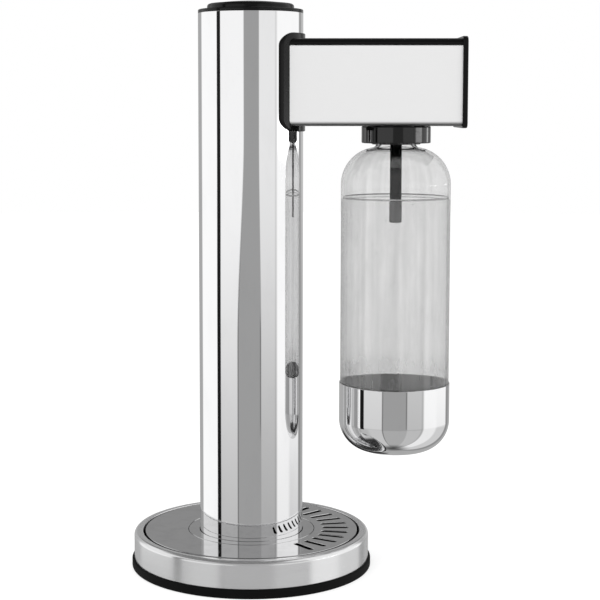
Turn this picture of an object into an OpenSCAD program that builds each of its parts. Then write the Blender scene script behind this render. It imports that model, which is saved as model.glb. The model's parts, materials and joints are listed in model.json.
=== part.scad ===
/* [Base] */
// Diameter of the steel base shell
base_d = 185; // [178:1:200]
// Height of the steel base shell
shell_h = 21; // [18:0.5:30]
// Sheet thickness of the base shell
shell_t = 1.2; // [0.8:0.1:1.6]
// Radius of the shell's rolled top edge
shell_edge_r = 3.5; // [2.5:0.1:4.5]
// Width of the flat rim, from the shell's outside to its inner edge
rim_w = 7; // [6.6:0.1:9]
// Gap between the rim and the drip plate
rim_gap = 1.8; // [0.3:0.1:2.2]
// Depth of the flange turned down inside the rim
rim_flange = 3.5; // [2.5:0.1:5]
// Height of the rubber foot ring
foot_h = 7; // [4:0.5:10]
// How far the foot ring stands out past the shell
foot_lip = 1.8; // [1:0.1:4]
// Width of the foot ring
foot_w = 16; // [12:0.5:22]
// Thickness of the moulded base floor
floor_t = 4; // [3.5:0.1:6]
// Thickness of the drip plate
plate_t = 1.5; // [1:0.1:3]
// Depth of the drip plate's face below the rim
plate_drop = 0; // [0:0.1:1]
// Number of drip slots
slot_count = 11; // [5:2:13]
// Angle between neighbouring drip slots
slot_pitch = 10.5; // [8:0.5:11.5]
// Width of a drip slot
slot_w = 4.6; // [2:0.1:5]
// Distance from the drip plate's inner edge to the slots' inner ends
slot_inset = 6.1; // [5:0.1:8]
// Distance from the slots' outer ends to the drip plate's edge
slot_margin = 6.5; // [6:0.1:8]
// Width of the steel ring around the tower's foot
ring_w = 8.6; // [6:0.1:9]
// Wall of the drip tray
tray_t = 1.4; // [1:0.1:2]

/* [Tower] */
// Diameter of the tower tube
tower_d = 81; // [79:0.5:90]
// Wall of the tower tube
tower_t = 1.2; // [0.8:0.1:1.6]
// Height of the tube above the arm's top face
tower_over = 20; // [19:0.2:30]
// Height of the tube's inner foot flange
flange_h = 6; // [5:0.5:10]

/* [Gas cylinder] */
// Diameter of the gas cylinder
cyl_d = 60; // [54:0.5:61]
// Length of the gas cylinder, foot to the end of its valve nose
cyl_len = 353; // [300:1:380]
// Wall of the gas cylinder
cyl_t = 3; // [2:0.1:5]
// Diameter of the valve's threaded nose
nose_d = 21; // [19:0.5:23]

/* [Button] */
// Height of the black bezel above the tube
bezel_h = 2.7; // [2:0.1:5]
// Diameter of the push button
button_d = 67; // [65:0.5:68]
// Height of the button's edge above the bezel
button_rise = 4.4; // [4:0.1:9]
// Height of the button's crown above its edge
button_crown = 2.2; // [1:0.1:4]
// How far the button travels
button_travel = 5; // [3:0.1:5]
// Distance from the valve axis to the lever's pivot
pivot_arm = 25.5; // [25:0.1:26.5]
// Distance from the valve axis to the button's post
post_arm = 20; // [16:0.5:21]

/* [Arm] */
// Width of the arm
arm_w = 60; // [58:0.5:66]
// Height of the arm
arm_h = 66; // [64:0.5:74]
// How far the arm's underside lies below the valve nose's end
arm_drop = 19.6; // [18.5:0.1:21]
// Distance from the tower's axis to the end of the steel sleeve
arm_reach = 160; // [158:1:180]
// Sheet thickness of the sleeve
sleeve_t = 1.2; // [0.8:0.1:1.6]
// Radius of the arm's long edges
arm_edge_r = 4.5; // [2.5:0.1:5]
// Height of the black top cover
cover_h = 5.2; // [5:0.1:8]
// Thickness of the end cap's plate
cap_t = 4; // [2.5:0.1:6]
// How far the end cap stands out past the sleeve all round
cap_lip = 1.6; // [0:0.1:3]
// Thickness of the saddle that hugs the tower
saddle_t = 1.6; // [1:0.1:3]
// How far the saddle stands out past the arm all round
saddle_lip = 4.4; // [3:0.1:7]
// Radius of the saddle's corners
saddle_corner = 10; // [5:0.5:14]

/* [Bottle] */
// Distance from the end of the steel sleeve back to the bottle's axis
bottle_inset = 47.5; // [46:0.5:52]
// Diameter of the bottle
bottle_d = 85; // [76:0.5:92]
// Height of the bottle, foot of its cup to the top of its shoulder
bottle_h = 238.4; // [200:0.2:250]
// Wall of the bottle
bottle_t = 1.3; // [0.8:0.1:2]
// Radius of the bottle's shoulder
shoulder_r = 29; // [22:0.5:32]
// Radius of the bottle's lower corner
heel_r = 24; // [14:0.5:30]
// Diameter of the bottle's neck
neck_d = 30; // [28:0.5:31]
// Wall of the bottle's neck
neck_t = 3.5; // [2:0.1:4]
// Height of the steel base cup
cup_h = 54; // [40:1:90]
// Sheet thickness of the base cup
cup_t = 0.6; // [0.4:0.1:1]

/* [Carbonation head] */
// Diameter of the black bottle collar
collar_d = 53.5; // [50:0.5:57]
// How far the collar hangs below the arm
collar_drop = 13.4; // [10:0.2:20]
// Diameter of the carbonation nozzle
nozzle_d = 9.1; // [7:0.1:10]
// How far the nozzle hangs below the arm
nozzle_drop = 75; // [40:1:120]
// Outside diameter of the gas hose
hose_d = 9; // [8:0.5:10]

/* [Hidden] */
$fn = 96;
// Running clearance of a pin or shaft, radial
run = 0.05;
// Clearance of parts that are pushed together and stay put
fit = 0.15;
// Clearance of parts that move past each other
gap = 0.4;
// Overshoot of a cutting shape
cut = 1;

base_r = base_d / 2;
base_top = foot_h + shell_h;
foot_r = base_r + foot_lip;
foot_edge_r = 1.2;
rim_in_r = base_r - rim_w;
plate_r = rim_in_r - rim_gap;
plate_top = base_top - plate_drop;
plate_bot = plate_top - plate_t;
floor_top = foot_h + floor_t;

tower_r = tower_d / 2;
tower_in_r = tower_r - tower_t;
sock_r = tower_r + gap;
sock_wall = 3;
seat_w = 3;
seat_in_r = plate_r - seat_w;
ring_r = sock_r + ring_w;
plate_in_r = ring_r + gap;
ledge_w = 3;
ledge_out_r = plate_in_r + ledge_w / 2;
slot_in = plate_in_r + slot_inset;
slot_out = plate_r - slot_margin;
frame_r = base_r - shell_t - fit;
rib_t = 2.4;
under_rib_h = 3;
under_rib_count = 12;

tray_past_slots_a = 14.25;
tray_half = slot_count * slot_pitch / 2 + tray_past_slots_a;
tray_in_r = ledge_out_r + gap;
tray_out_r = seat_in_r - gap;
tray_end_a = 2;
wall_a = tray_half + 2.5;
weight_a = tray_half + 5;
weight_in_r = tray_in_r + gap;
weight_out_r = tray_out_r - gap;
weight_top = plate_bot - 3;

cyl_r = cyl_d / 2;
cyl_bot = floor_top + 1.5;
hub_r = cyl_r + 1.5;
nose_r = nose_d / 2;
nose_top = cyl_bot + cyl_len;
nose_len = 22;
hex_h = 10;
cyl_neck_top = nose_top - nose_len - hex_h;
cyl_neck_r = 13;
cyl_neck_bore = 8;
cyl_shoulder_r = 22;
cyl_neck_len = 6;
cyl_shoulder_top = cyl_neck_top - cyl_neck_len;
cyl_heel_r = 8;

arm_bot = nose_top - arm_drop;
arm_top = arm_bot + arm_h;
tower_top = arm_top + tower_over;
bezel_top = tower_top + bezel_h;
saddle_r = tower_r + saddle_t;

screw_r = 1.5;
screw_head_r = 2.8;
screw_head_h = 1.8;
screw_sink = screw_head_h + 0.3;
bolt_r = 2;
bolt_head_r = 3.5;
bolt_head_h = 3;
flange_top = floor_top + flange_h;
flange_mid_r = (hub_r + tower_in_r) / 2;

gasket_t = 2;
chamber_bot = nose_top + gasket_t;
chamber_h = 6;
chamber_r = 5;
hose_z = chamber_bot + chamber_h / 2;
hose_r = hose_d / 2;
hose_t = 1.8;
barb_r = hose_r - hose_t - run;
port_r = 4;
port_hex_r = 6.5;
port_hex_h = 2.8;
barb_len = 12;
hose_hole_r = hose_r + 2;

port_len = 6;
port_depth = port_len + 0.5;
block_wall = 6.5;
block_r = nose_r + block_wall;
block_grip = 16;
block_bot = nose_top - block_grip;
carrier_r = tower_in_r - fit;
carrier_wall = 4.6;
carrier_bot = arm_bot - gap;
web_rise = 12;
web_bot = nose_top + web_rise;
web_t = 6;
web_top = web_bot + web_t;
block_flange_w = 6;
block_flange_r = block_r + block_flange_w;
block_flange_t = 4;
block_screw_r = block_r + block_flange_w / 2;
block_rise = 8;
block_top = web_top + block_rise;
pin_r = 3;
seal_r = 5.5;
seal_h = 4;
nut_h = 4;

pin_top = block_top + nut_h + 4;
lever_w = 10;
lever_t = 6;
nose_pad_r = 3;
eye_r = 5;
pivot_x = -pivot_arm;
pivot_z = pin_top + 5;
lever_pin_r = 2;
ear_t = 4;
ear_in_y = lever_w / 2 + gap;

button_r = button_d / 2;
button_edge = bezel_top + button_rise;
button_edge_r = 2.3;
button_wall = 3;
button_under = button_edge - button_wall;
button_bore = button_r + gap;
skirt_in_r = button_r - button_wall;
lip_r = button_r + 2.4;
lip_h = 3.5;
bezel_skirt = 6;
lip_top = tower_top - bezel_skirt - 0.3;
lip_bot = lip_top - lip_h;
crown_a = button_r - button_edge_r - 1.5;
crown_r = (crown_a * crown_a + button_crown * button_crown) / (2 * button_crown);
post_r = 4;
post_bot = pivot_z + lever_t / 2 + nose_pad_r + 0.1;
spring_wire = 1.6;
spring_r = skirt_in_r - 3;
spring_turns = 5;
spring_seat = lip_bot - button_travel - 3;
seat_ring_t = 3;
seat_ring_in_r = spring_r - 2;

bottle_x = arm_reach - bottle_inset;
arm_half = arm_w / 2;
lip_z = arm_top - cover_h;
lip_w = 4;
cover_t = 2.5;
cover_under = arm_top - cover_t;
cover_rib_t = 1.2;
cover_rib_h = 3;
cover_rib_y = arm_half - sleeve_t - lip_w - 0.3;
spigot_len = 6;
spigot_t = 2;

collar_bot = arm_bot - collar_drop;
collar_top = arm_bot - gap;
collar_r = collar_d / 2;
collar_lip_h = 1;
collar_chamfer = 0.8;
neck_r = neck_d / 2;
neck_ring_gap = 0.6;
neck_ring_t = 1.4;
neck_ring_r = neck_r + 4.5;
lug_h = 2;
lug_count = 3;
lug_a = 20;
lug_bot = collar_bot + 5;
lug_len = 5;
key_a = lug_a + 6;
collar_lip_bot = collar_bot - collar_lip_h;
shoulder_top = collar_lip_bot - neck_ring_gap - neck_ring_t;
shoulder_z = shoulder_top - shoulder_r;
cup_bot = shoulder_top - bottle_h;
cup_top = cup_bot + cup_h;
bottle_r = bottle_d / 2;
bottle_bot = cup_bot + cup_t + fit;
cup_r = bottle_r + fit + cup_t;
mouth_rise = 6.8;
mouth_z = arm_bot + mouth_rise;

head_r = neck_r + 2.5;
head_bot = mouth_z - 3.2;
seal_bot = mouth_z + 0.3;
seal_t = 2.5;
socket_top = seal_bot + seal_t;
socket_r = neck_r + 0.7;
nozzle_r = nozzle_d / 2;
nozzle_bore_r = nozzle_r - 2.4;
nozzle_grip = 8;
nozzle_top = socket_top + nozzle_grip;
nozzle_bot = arm_bot - nozzle_drop;
tip_h = 6;
tip_hole_r = 0.8;
hub_bore_r = head_r + run;
hub_out_r = hub_bore_r + 4.4;
hub_top = mouth_z + 0.8;
hub_groove = 1;
clip_t = 1.2;
clip_bot = arm_bot + sleeve_t + gap;
clip_r = hub_out_r + 2.4;
clip_open_a = 30;

frame_y = cover_rib_y - cover_rib_t - 2 * gap;
frame_in_y = head_r + 1.5;
frame_wall = frame_y - frame_in_y;
frame_end_t = 3;
root_t = 9.5;
root_x = tower_r + root_t;
root_rise = 8;
root_bot = arm_bot + root_rise;
root_inset = 9;
root_top = arm_top - root_inset;
beam_rise = 12;
beam_bot = arm_bot + beam_rise;
bridge_t = 4;
bridge_top = cover_under - 4;
bridge_bot = bridge_top - bridge_t;
bridge_half = head_r + 2.5;
beam_end = arm_reach - spigot_len - 1;
beam_hole_r = 9;
beam_hole_count = 3;
bolt_y = frame_in_y - 6;
bolt_inset = 9;
head_plate_half = frame_in_y - 0.5;
head_plate_t = 6;
head_screw_at = head_plate_half - 5;
hose_x0 = block_r + port_hex_h + 2 * fit;
hose_x1 = bottle_x - head_r - port_hex_h - 2 * fit;

relief_z = hose_z;
relief_x = bottle_x + head_r;
relief_sink = 8;
relief_r = 6;
relief_hex_r = 8;
relief_hex_h = 4;
relief_len = 16;
poppet_r = 4;
poppet_len = 7;
relief_cap_len = 4;
relief_travel = 2;
relief_seat_x = relief_x - relief_sink + 2;
relief_end_x = relief_x + relief_len;
relief_wire = 0.8;
relief_turns = 6;

// Round shapes about the Z axis and rods along X

module ring(r_out, r_in, z0, z1) {
  translate([0, 0, z0])
    difference() {
      cylinder(r = r_out, h = z1 - z0);
      translate([0, 0, -cut])
        cylinder(r = r_in, h = z1 - z0 + 2 * cut);
    }
}

module post(r, z0, z1) {
  translate([0, 0, z0])
    cylinder(r = r, h = z1 - z0);
}

module rod_x(r, x0, x1, y, z) {
  translate([x0, y, z])
    rotate([0, 90, 0])
      cylinder(r = r, h = x1 - x0);
}

// Flat outlines drawn across the arm and pushed along X, or beside it and pushed along Y

module along_x(x0, x1) {
  translate([x0, 0, 0])
    rotate([90, 0, 90])
      linear_extrude(x1 - x0)
        children();
}

module along_y(y0, y1) {
  translate([0, y1, 0])
    rotate([90, 0, 0])
      linear_extrude(y1 - y0)
        children();
}

module box2d(x0, x1, y0, y1) {
  translate([x0, y0])
    square([x1 - x0, y1 - y0]);
}

module round_rect(half, z0, z1, r) {
  box2d(-half, half, z0 + r, z1 - r);
  box2d(-half + r, half - r, z0, z1);
  for (s = [-1, 1], z = [z0 + r, z1 - r])
    translate([s * (half - r), z])
      circle(r);
}

module tub2d(half, z0, z1, r) {
  box2d(-half, half, z0 + r, z1);
  box2d(-half + r, half - r, z0, z1);
  for (s = [-1, 1])
    translate([s * (half - r), z0 + r])
      circle(r);
}

module lid2d(half, z0, z1, r) {
  box2d(-half, half, z0, z1 - r);
  box2d(-half + r, half - r, z0, z1);
  for (s = [-1, 1])
    intersection() {
      translate([s * (half - r), z1 - r])
        circle(r);
      box2d(-half, half, z1 - r, z1);
    }
}

// Half sections turned about an axis

module rolled_edge2d(r, z0, z1, e) {
  box2d(0, r - e, z0, z1);
  box2d(0, r, z0, z1 - e);
  translate([r - e, z1 - e])
    circle(e);
}

module vessel2d(r, z0, zs, heel, shoulder) {
  box2d(0, r - heel, z0, zs);
  box2d(0, r, z0 + heel, zs);
  intersection() {
    translate([r - heel, z0 + heel])
      circle(heel);
    box2d(0, r, z0, z0 + heel);
  }
  intersection() {
    translate([r - shoulder, zs])
      circle(shoulder);
    box2d(0, r, zs, zs + shoulder);
  }
  box2d(0, r - shoulder, zs, zs + shoulder);
}

// A screw standing on its head, shank up, with a hexagon socket

module screw(shank_r, head_r, head_h, len) {
  difference() {
    union() {
      cylinder(r = head_r, h = head_h);
      cylinder(r = shank_r, h = head_h + len);
    }
    translate([0, 0, -cut])
      cylinder(r = shank_r * 0.8, h = cut + head_h * 0.6, $fn = 6);
  }
}

// A wire coil about the Z axis, swept as one closed tube

function coil_points(r, wire, z0, z1, turns, steps, sides) = [
  for (i = [0 : steps * turns], k = [0 : sides - 1])
    let (
      a = 360 * i / steps,
      b = 360 * k / sides,
      z = z0 + wire / 2 + (z1 - z0 - wire) * i / (steps * turns),
      q = r + wire / 2 * cos(b)
    )
      [q * cos(a), q * sin(a), z + wire / 2 * sin(b)]
];

module coil(r, wire, z0, z1, turns) {
  steps = 20;
  sides = 6;
  last = steps * turns;
  walls = [
    for (i = [0 : last - 1], k = [0 : sides - 1])
      let (
        a = i * sides + k,
        b = i * sides + (k + 1) % sides
      )
        each [[a, b, b + sides], [a, b + sides, a + sides]]
  ];
  starts = [for (k = [1 : sides - 2]) [0, k + 1, k]];
  ends = [for (k = [1 : sides - 2]) [last * sides, last * sides + k, last * sides + k + 1]];
  polyhedron(coil_points(r, wire, z0, z1, turns, steps, sides), concat(walls, starts, ends));
}

// Where the fasteners stand

module at_tower_screws() {
  for (a = [0 : 90 : 270])
    rotate([0, 0, a])
      translate([flange_mid_r, 0, 0])
        children();
}

module at_weight_screws() {
  for (a = [-60, 0, 60])
    rotate([0, 0, 180 + a])
      translate([(weight_in_r + weight_out_r) / 2, 0, 0])
        children();
}

module at_block_screws() {
  for (a = [60, 180, 300])
    rotate([0, 0, a])
      translate([block_screw_r, 0, 0])
        children();
}

module at_head_screws() {
  for (x = [-1, 1], y = [-1, 1])
    translate([bottle_x + x * head_screw_at, y * head_screw_at, 0])
      children();
}

module at_arm_bolts() {
  for (y = [-bolt_y, bolt_y], z = [root_bot + bolt_inset, root_top - bolt_inset])
    translate([root_x, y, z])
      rotate([0, 90, 0])
        children();
}

module arm_bolt_holes(r) {
  at_arm_bolts()
    translate([0, 0, -root_x])
      cylinder(r = r, h = root_x + cut);
}

// Base

module foot_ring() {
  color("#0c0c0d")
    rotate_extrude()
      difference() {
        union() {
          box2d(0, foot_r - foot_edge_r, 0, foot_h);
          box2d(0, foot_r, foot_edge_r, foot_h - foot_edge_r);
          for (z = [foot_edge_r, foot_h - foot_edge_r])
            translate([foot_r - foot_edge_r, z])
              circle(foot_edge_r);
        }
        box2d(-cut, foot_r - foot_w, -cut, foot_h + cut);
      }
}

module base_shell() {
  color("#c9cacb")
    rotate_extrude()
      difference() {
        rolled_edge2d(base_r, foot_h, base_top, shell_edge_r);
        difference() {
          rolled_edge2d(base_r - shell_t, foot_h - cut, base_top - shell_t, shell_edge_r - shell_t);
          box2d(rim_in_r, rim_in_r + shell_t, base_top - rim_flange, base_top);
        }
        box2d(-cut, rim_in_r, foot_h - cut, base_top + cut);
      }
}

module base_frame_section() {
  box2d(hub_r, frame_r, foot_h, floor_top);
  box2d(sock_r, sock_r + sock_wall, foot_h, plate_bot);
  box2d(ledge_out_r - ledge_w, ledge_out_r, foot_h, plate_bot);
  box2d(seat_in_r, plate_r, foot_h, plate_bot);
  polygon([
    [rim_in_r + shell_t + gap, foot_h],
    [frame_r, foot_h],
    [frame_r, base_top - shell_edge_r],
    [base_r - shell_edge_r, base_top - shell_t],
    [rim_in_r + shell_t + gap, base_top - shell_t]
  ]);
}

module base_frame() {
  color("#202122")
    difference() {
      union() {
        rotate_extrude()
          base_frame_section();
        for (a = [-wall_a, wall_a])
          rotate([0, 0, a])
            translate([sock_r + cut, -rib_t / 2, foot_h])
              cube([seat_in_r - sock_r, rib_t, plate_bot - foot_h]);
        for (i = [0 : under_rib_count - 1])
          rotate([0, 0, (i + 0.5) * 360 / under_rib_count])
            translate([sock_r, -rib_t / 2, foot_h - under_rib_h])
              cube([foot_r - foot_w - gap - sock_r, rib_t, under_rib_h + cut]);
      }
      at_tower_screws() {
        post(screw_r + fit, foot_h - cut, floor_top + cut);
        post(screw_head_r + gap, foot_h - cut, foot_h + screw_sink);
      }
      at_weight_screws() {
        post(screw_r + fit, foot_h - cut, floor_top + cut);
        post(screw_head_r + gap, foot_h - cut, foot_h + screw_sink);
      }
    }
}

module counterweight() {
  color("#4a4b4c")
    difference() {
      rotate([0, 0, weight_a])
        rotate_extrude(angle = 360 - 2 * weight_a)
          box2d(weight_in_r, weight_out_r, floor_top, weight_top);
      at_weight_screws()
        post(screw_r + run, floor_top - cut, weight_top + cut);
    }
}

module weight_screws() {
  color("#9a9b9c")
    at_weight_screws()
      translate([0, 0, foot_h + screw_sink - screw_head_h])
        screw(screw_r, screw_head_r, screw_head_h, floor_t + flange_h);
}

module drip_tray() {
  color("#1a1b1c")
    difference() {
      rotate([0, 0, -tray_half])
        rotate_extrude(angle = 2 * tray_half)
          box2d(tray_in_r, tray_out_r, floor_top, plate_bot - gap);
      rotate([0, 0, tray_end_a - tray_half])
        rotate_extrude(angle = 2 * (tray_half - tray_end_a))
          box2d(tray_in_r + tray_t, tray_out_r - tray_t, floor_top + tray_t, plate_bot);
    }
}

module drip_slot() {
  r = slot_w / 2;
  box2d(slot_in + r, slot_out - r, -r, r);
  for (x = [slot_in + r, slot_out - r])
    translate([x, 0])
      circle(r);
}

module drip_plate() {
  color("#8f9091")
    difference() {
      ring(plate_r, plate_in_r, plate_bot, plate_top);
      for (i = [0 : slot_count - 1])
        rotate([0, 0, (i - (slot_count - 1) / 2) * slot_pitch])
          translate([0, 0, plate_bot - cut])
            linear_extrude(plate_t + 2 * cut)
              drip_slot();
    }
}

module tower_ring() {
  color("#8f9091")
    ring(ring_r, sock_r, plate_bot, plate_top);
}

// Tower

module tower_tube() {
  color("#e6e7e8")
    difference() {
      ring(tower_r, tower_in_r, floor_top, tower_top);
      rod_x(hose_hole_r, 0, root_x, 0, hose_z);
      arm_bolt_holes(bolt_r + fit);
    }
}

module tower_flange() {
  color("#b0b1b2")
    difference() {
      ring(tower_in_r - fit, hub_r, floor_top, flange_top);
      at_tower_screws()
        post(screw_r + run, floor_top - cut, flange_top + cut);
    }
}

module tower_screws() {
  color("#9a9b9c")
    at_tower_screws()
      translate([0, 0, foot_h + screw_sink - screw_head_h])
        screw(screw_r, screw_head_r, screw_head_h, floor_t + flange_h - screw_sink - cut);
}

module cylinder_guide() {
  height = 10;
  funnel = 3;
  color("#202122")
    rotate_extrude()
      polygon([
        [hub_r, flange_top],
        [tower_in_r - fit, flange_top],
        [tower_in_r - fit, flange_top + height],
        [cyl_r + gap, flange_top + height],
        [cyl_r + gap, flange_top + funnel]
      ]);
}

// Gas cylinder and its valve

module gas_cylinder() {
  inner_r = cyl_r - cyl_t;
  color("#6d6f72")
    rotate_extrude()
      difference() {
        union() {
          vessel2d(cyl_r, cyl_bot, cyl_shoulder_top - cyl_shoulder_r, cyl_heel_r, cyl_shoulder_r);
          box2d(0, cyl_neck_r, cyl_bot + cyl_heel_r, cyl_neck_top);
        }
        vessel2d(inner_r, cyl_bot + cyl_t, cyl_shoulder_top - cyl_shoulder_r,
          cyl_heel_r - cyl_t, cyl_shoulder_r - cyl_t);
        box2d(0, cyl_neck_bore, cyl_shoulder_top - cyl_shoulder_r, cyl_neck_top + cut);
      }
}

module cylinder_valve() {
  plug_len = 14;
  hex_r = 14;
  bore_r = pin_r + fit;
  bore_len = 16;
  color("#b08d57")
    difference() {
      union() {
        post(cyl_neck_bore - run, cyl_neck_top - plug_len, cyl_neck_top + cut);
        translate([0, 0, cyl_neck_top])
          cylinder(r = hex_r, h = hex_h, $fn = 6);
        post(nose_r, cyl_neck_top + cut, nose_top);
      }
      post(bore_r, nose_top - bore_len, nose_top + cut);
    }
}

module valve_pin() {
  stem_r = 1.5;
  stem_len = 11;
  guide_top = 4;
  guide_h = 3;
  color("#c8c9ca") {
    post(stem_r, nose_top - stem_len, nose_top + 1);
    post(pin_r, nose_top - guide_top - guide_h, nose_top - guide_top);
  }
}

// Valve carrier in the top of the tower

module ear2d() {
  box2d(pivot_x - eye_r, -block_flange_r - gap, web_top - cut, pivot_z);
  translate([pivot_x, pivot_z])
    circle(eye_r);
}

module valve_carrier() {
  wall_in_r = carrier_r - carrier_wall;
  color("#26272a")
    difference() {
      union() {
        rotate_extrude() {
          box2d(wall_in_r, carrier_r, carrier_bot, spring_seat);
          box2d(block_r + fit, carrier_r, web_bot, web_top);
          box2d(seat_ring_in_r, carrier_r, spring_seat - seat_ring_t, spring_seat);
        }
        for (y = [-ear_in_y - ear_t, ear_in_y])
          along_y(y, y + ear_t)
            ear2d();
      }
      translate([pivot_x, 0, pivot_z])
        rotate([90, 0, 0])
          cylinder(r = lever_pin_r + run, h = 2 * (ear_in_y + ear_t + cut), center = true);
      rod_x(hose_hole_r, 0, root_x, 0, hose_z);
      arm_bolt_holes(bolt_r + run);
      at_block_screws()
        post(screw_r + run, web_bot - cut, web_top + cut);
    }
}

module valve_block() {
  color("#b08d57")
    difference() {
      union() {
        post(block_r, block_bot, block_top);
        post(block_flange_r, web_top, web_top + block_flange_t);
      }
      post(nose_r + run, block_bot - cut, chamber_bot);
      post(chamber_r, chamber_bot - cut, chamber_bot + chamber_h);
      post(pin_r + run, chamber_bot, block_top + cut);
      post(seal_r, block_top - seal_h, block_top + cut);
      rod_x(port_r + run, block_r - port_depth, block_r + cut, 0, hose_z);
      rod_x(1.5, 0, block_r, 0, hose_z);
      at_block_screws()
        post(screw_r + fit, web_top - cut, web_top + block_flange_t + cut);
    }
}

module valve_gasket() {
  color("#151515")
    ring(nose_r - 0.2, pin_r + 1.2, nose_top, chamber_bot);
}

module block_screws() {
  color("#9a9b9c")
    at_block_screws()
      translate([0, 0, web_top + block_flange_t + screw_head_h])
        mirror([0, 0, 1])
          screw(screw_r, screw_head_r, screw_head_h, block_flange_t + web_t - cut);
}

module pin_seal() {
  color("#151515")
    ring(seal_r - run, pin_r + run, block_top - seal_h, block_top - gap);
}

module gland_nut() {
  color("#b08d57")
    difference() {
      translate([0, 0, block_top])
        cylinder(r = seal_r + 2.5, h = nut_h, $fn = 6);
      post(pin_r + fit, block_top - cut, block_top + nut_h + cut);
    }
}

module push_pin() {
  color("#c8c9ca")
    post(pin_r, nose_top + 1.1, pin_top);
}

module valve_lever() {
  color("#8d8f92")
    along_y(-lever_w / 2, lever_w / 2)
      difference() {
        union() {
          box2d(pivot_x, post_arm + nose_pad_r, pivot_z - lever_t / 2, pivot_z + lever_t / 2);
          translate([pivot_x, pivot_z])
            circle(eye_r);
          translate([0, pin_top + 0.1 + nose_pad_r])
            circle(nose_pad_r);
          translate([post_arm, pivot_z + lever_t / 2])
            circle(nose_pad_r);
        }
        translate([pivot_x, pivot_z])
          circle(lever_pin_r + run);
      }
}

module lever_pin() {
  half = ear_in_y + ear_t;
  color("#c8c9ca")
    translate([pivot_x, 0, pivot_z])
      rotate([90, 0, 0])
        cylinder(r = lever_pin_r, h = 2 * half, center = true);
}

// Push button

module button_bezel() {
  color("#101011")
    rotate_extrude()
      difference() {
        union() {
          rolled_edge2d(tower_r, tower_top, bezel_top, 0.8);
          box2d(0, tower_in_r - fit, tower_top - bezel_skirt, tower_top + cut);
        }
        box2d(-cut, button_bore, tower_top - bezel_skirt - cut, bezel_top + cut);
      }
}

module button_section() {
  difference() {
    union() {
      rolled_edge2d(button_r, lip_bot, button_edge, button_edge_r);
      intersection() {
        translate([0, button_edge + button_crown - crown_r])
          circle(crown_r, $fn = 720);
        box2d(0, crown_a, button_under, button_edge + button_crown + cut);
      }
      box2d(0, lip_r, lip_bot, lip_top);
    }
    box2d(-cut, skirt_in_r, lip_bot - cut, button_under);
  }
}

module carbonate_button() {
  color("#1c1d1e") {
    rotate_extrude()
      button_section();
    translate([post_arm, 0, 0])
      post(post_r, post_bot, button_under + cut);
  }
}

module button_spring() {
  color("#b8b9ba")
    coil(spring_r, spring_wire, spring_seat, button_under, spring_turns);
}

// Arm

module arm_saddle() {
  window_y = frame_y + gap;
  color("#121213")
    difference() {
      intersection() {
        ring(saddle_r, tower_r + run, arm_bot - saddle_lip, arm_top + saddle_lip);
        along_x(0, saddle_r + cut)
          round_rect(arm_half + saddle_lip, arm_bot - saddle_lip, arm_top + saddle_lip, saddle_corner);
      }
      along_x(0, saddle_r + cut)
        box2d(-window_y, window_y, root_bot - gap, root_top + gap);
    }
}

module saddle_cut() {
  post(saddle_r + fit, arm_bot - cut, arm_top + cut);
}

module arm_sleeve() {
  mouth = arm_half - sleeve_t - lip_w;
  color("#e6e7e8")
    difference() {
      along_x(tower_r / 2, arm_reach)
        difference() {
          tub2d(arm_half, arm_bot, lip_z, arm_edge_r);
          tub2d(arm_half - sleeve_t, arm_bot + sleeve_t, lip_z - sleeve_t, arm_edge_r - sleeve_t);
          box2d(-mouth, mouth, lip_z - sleeve_t - cut, lip_z + cut);
        }
      saddle_cut();
      translate([bottle_x, 0, 0])
        post(hub_out_r + gap, arm_bot - cut, arm_bot + sleeve_t + cut);
    }
}

module arm_top_cover() {
  color("#1b1c1d")
    difference() {
      along_x(tower_r / 2, arm_reach) {
        difference() {
          lid2d(arm_half, lip_z, arm_top, arm_edge_r);
          box2d(-cover_rib_y, cover_rib_y, lip_z - cut, cover_under);
        }
        for (s = [-1, 1])
          translate([s * (cover_rib_y - cover_rib_t / 2), 0])
            box2d(-cover_rib_t / 2, cover_rib_t / 2, lip_z - cover_rib_h, cover_under + cut);
      }
      saddle_cut();
    }
}

module arm_end_cap() {
  inner = arm_half - sleeve_t - fit;
  color("#0d0d0e") {
    along_x(arm_reach, arm_reach + cap_t)
      round_rect(arm_half + cap_lip, arm_bot - cap_lip, arm_top + cap_lip, arm_edge_r);
    along_x(arm_reach - spigot_len, arm_reach + cut)
      difference() {
        tub2d(inner, arm_bot + sleeve_t + fit, lip_z - sleeve_t - cover_rib_h, arm_edge_r - sleeve_t);
        tub2d(inner - spigot_t, arm_bot + sleeve_t + fit + spigot_t, lip_z, arm_edge_r - sleeve_t);
      }
  }
}

module arm_frame() {
  pitch = (beam_end - root_x) / beam_hole_count;
  color("#3a3b3d")
    difference() {
      union() {
        along_x(tower_r / 2, root_x)
          box2d(-frame_y, frame_y, root_bot, root_top);
        for (y = [-frame_y, frame_in_y])
          translate([root_x - cut, y, beam_bot])
            cube([beam_end - root_x + cut, frame_wall, bridge_bot - beam_bot + cut]);
        translate([beam_end - frame_end_t, -frame_y, beam_bot])
          cube([frame_end_t, 2 * frame_y, bridge_bot - beam_bot]);
        translate([bottle_x - bridge_half, -frame_y, bridge_bot])
          cube([2 * bridge_half, 2 * frame_y, bridge_t]);
      }
      post(tower_r + run, root_bot - cut, root_top + cut);
      rod_x(hose_hole_r, 0, root_x + cut, 0, hose_z);
      arm_bolt_holes(bolt_r + fit);
      at_head_screws()
        post(screw_r + fit, bridge_bot - cut, bridge_top + cut);
      for (i = [0 : beam_hole_count - 1])
        translate([root_x + (i + 0.5) * pitch, 0, (beam_bot + bridge_bot) / 2])
          rotate([90, 0, 0])
            cylinder(r = beam_hole_r, h = 2 * (frame_y + cut), center = true);
    }
}

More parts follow.
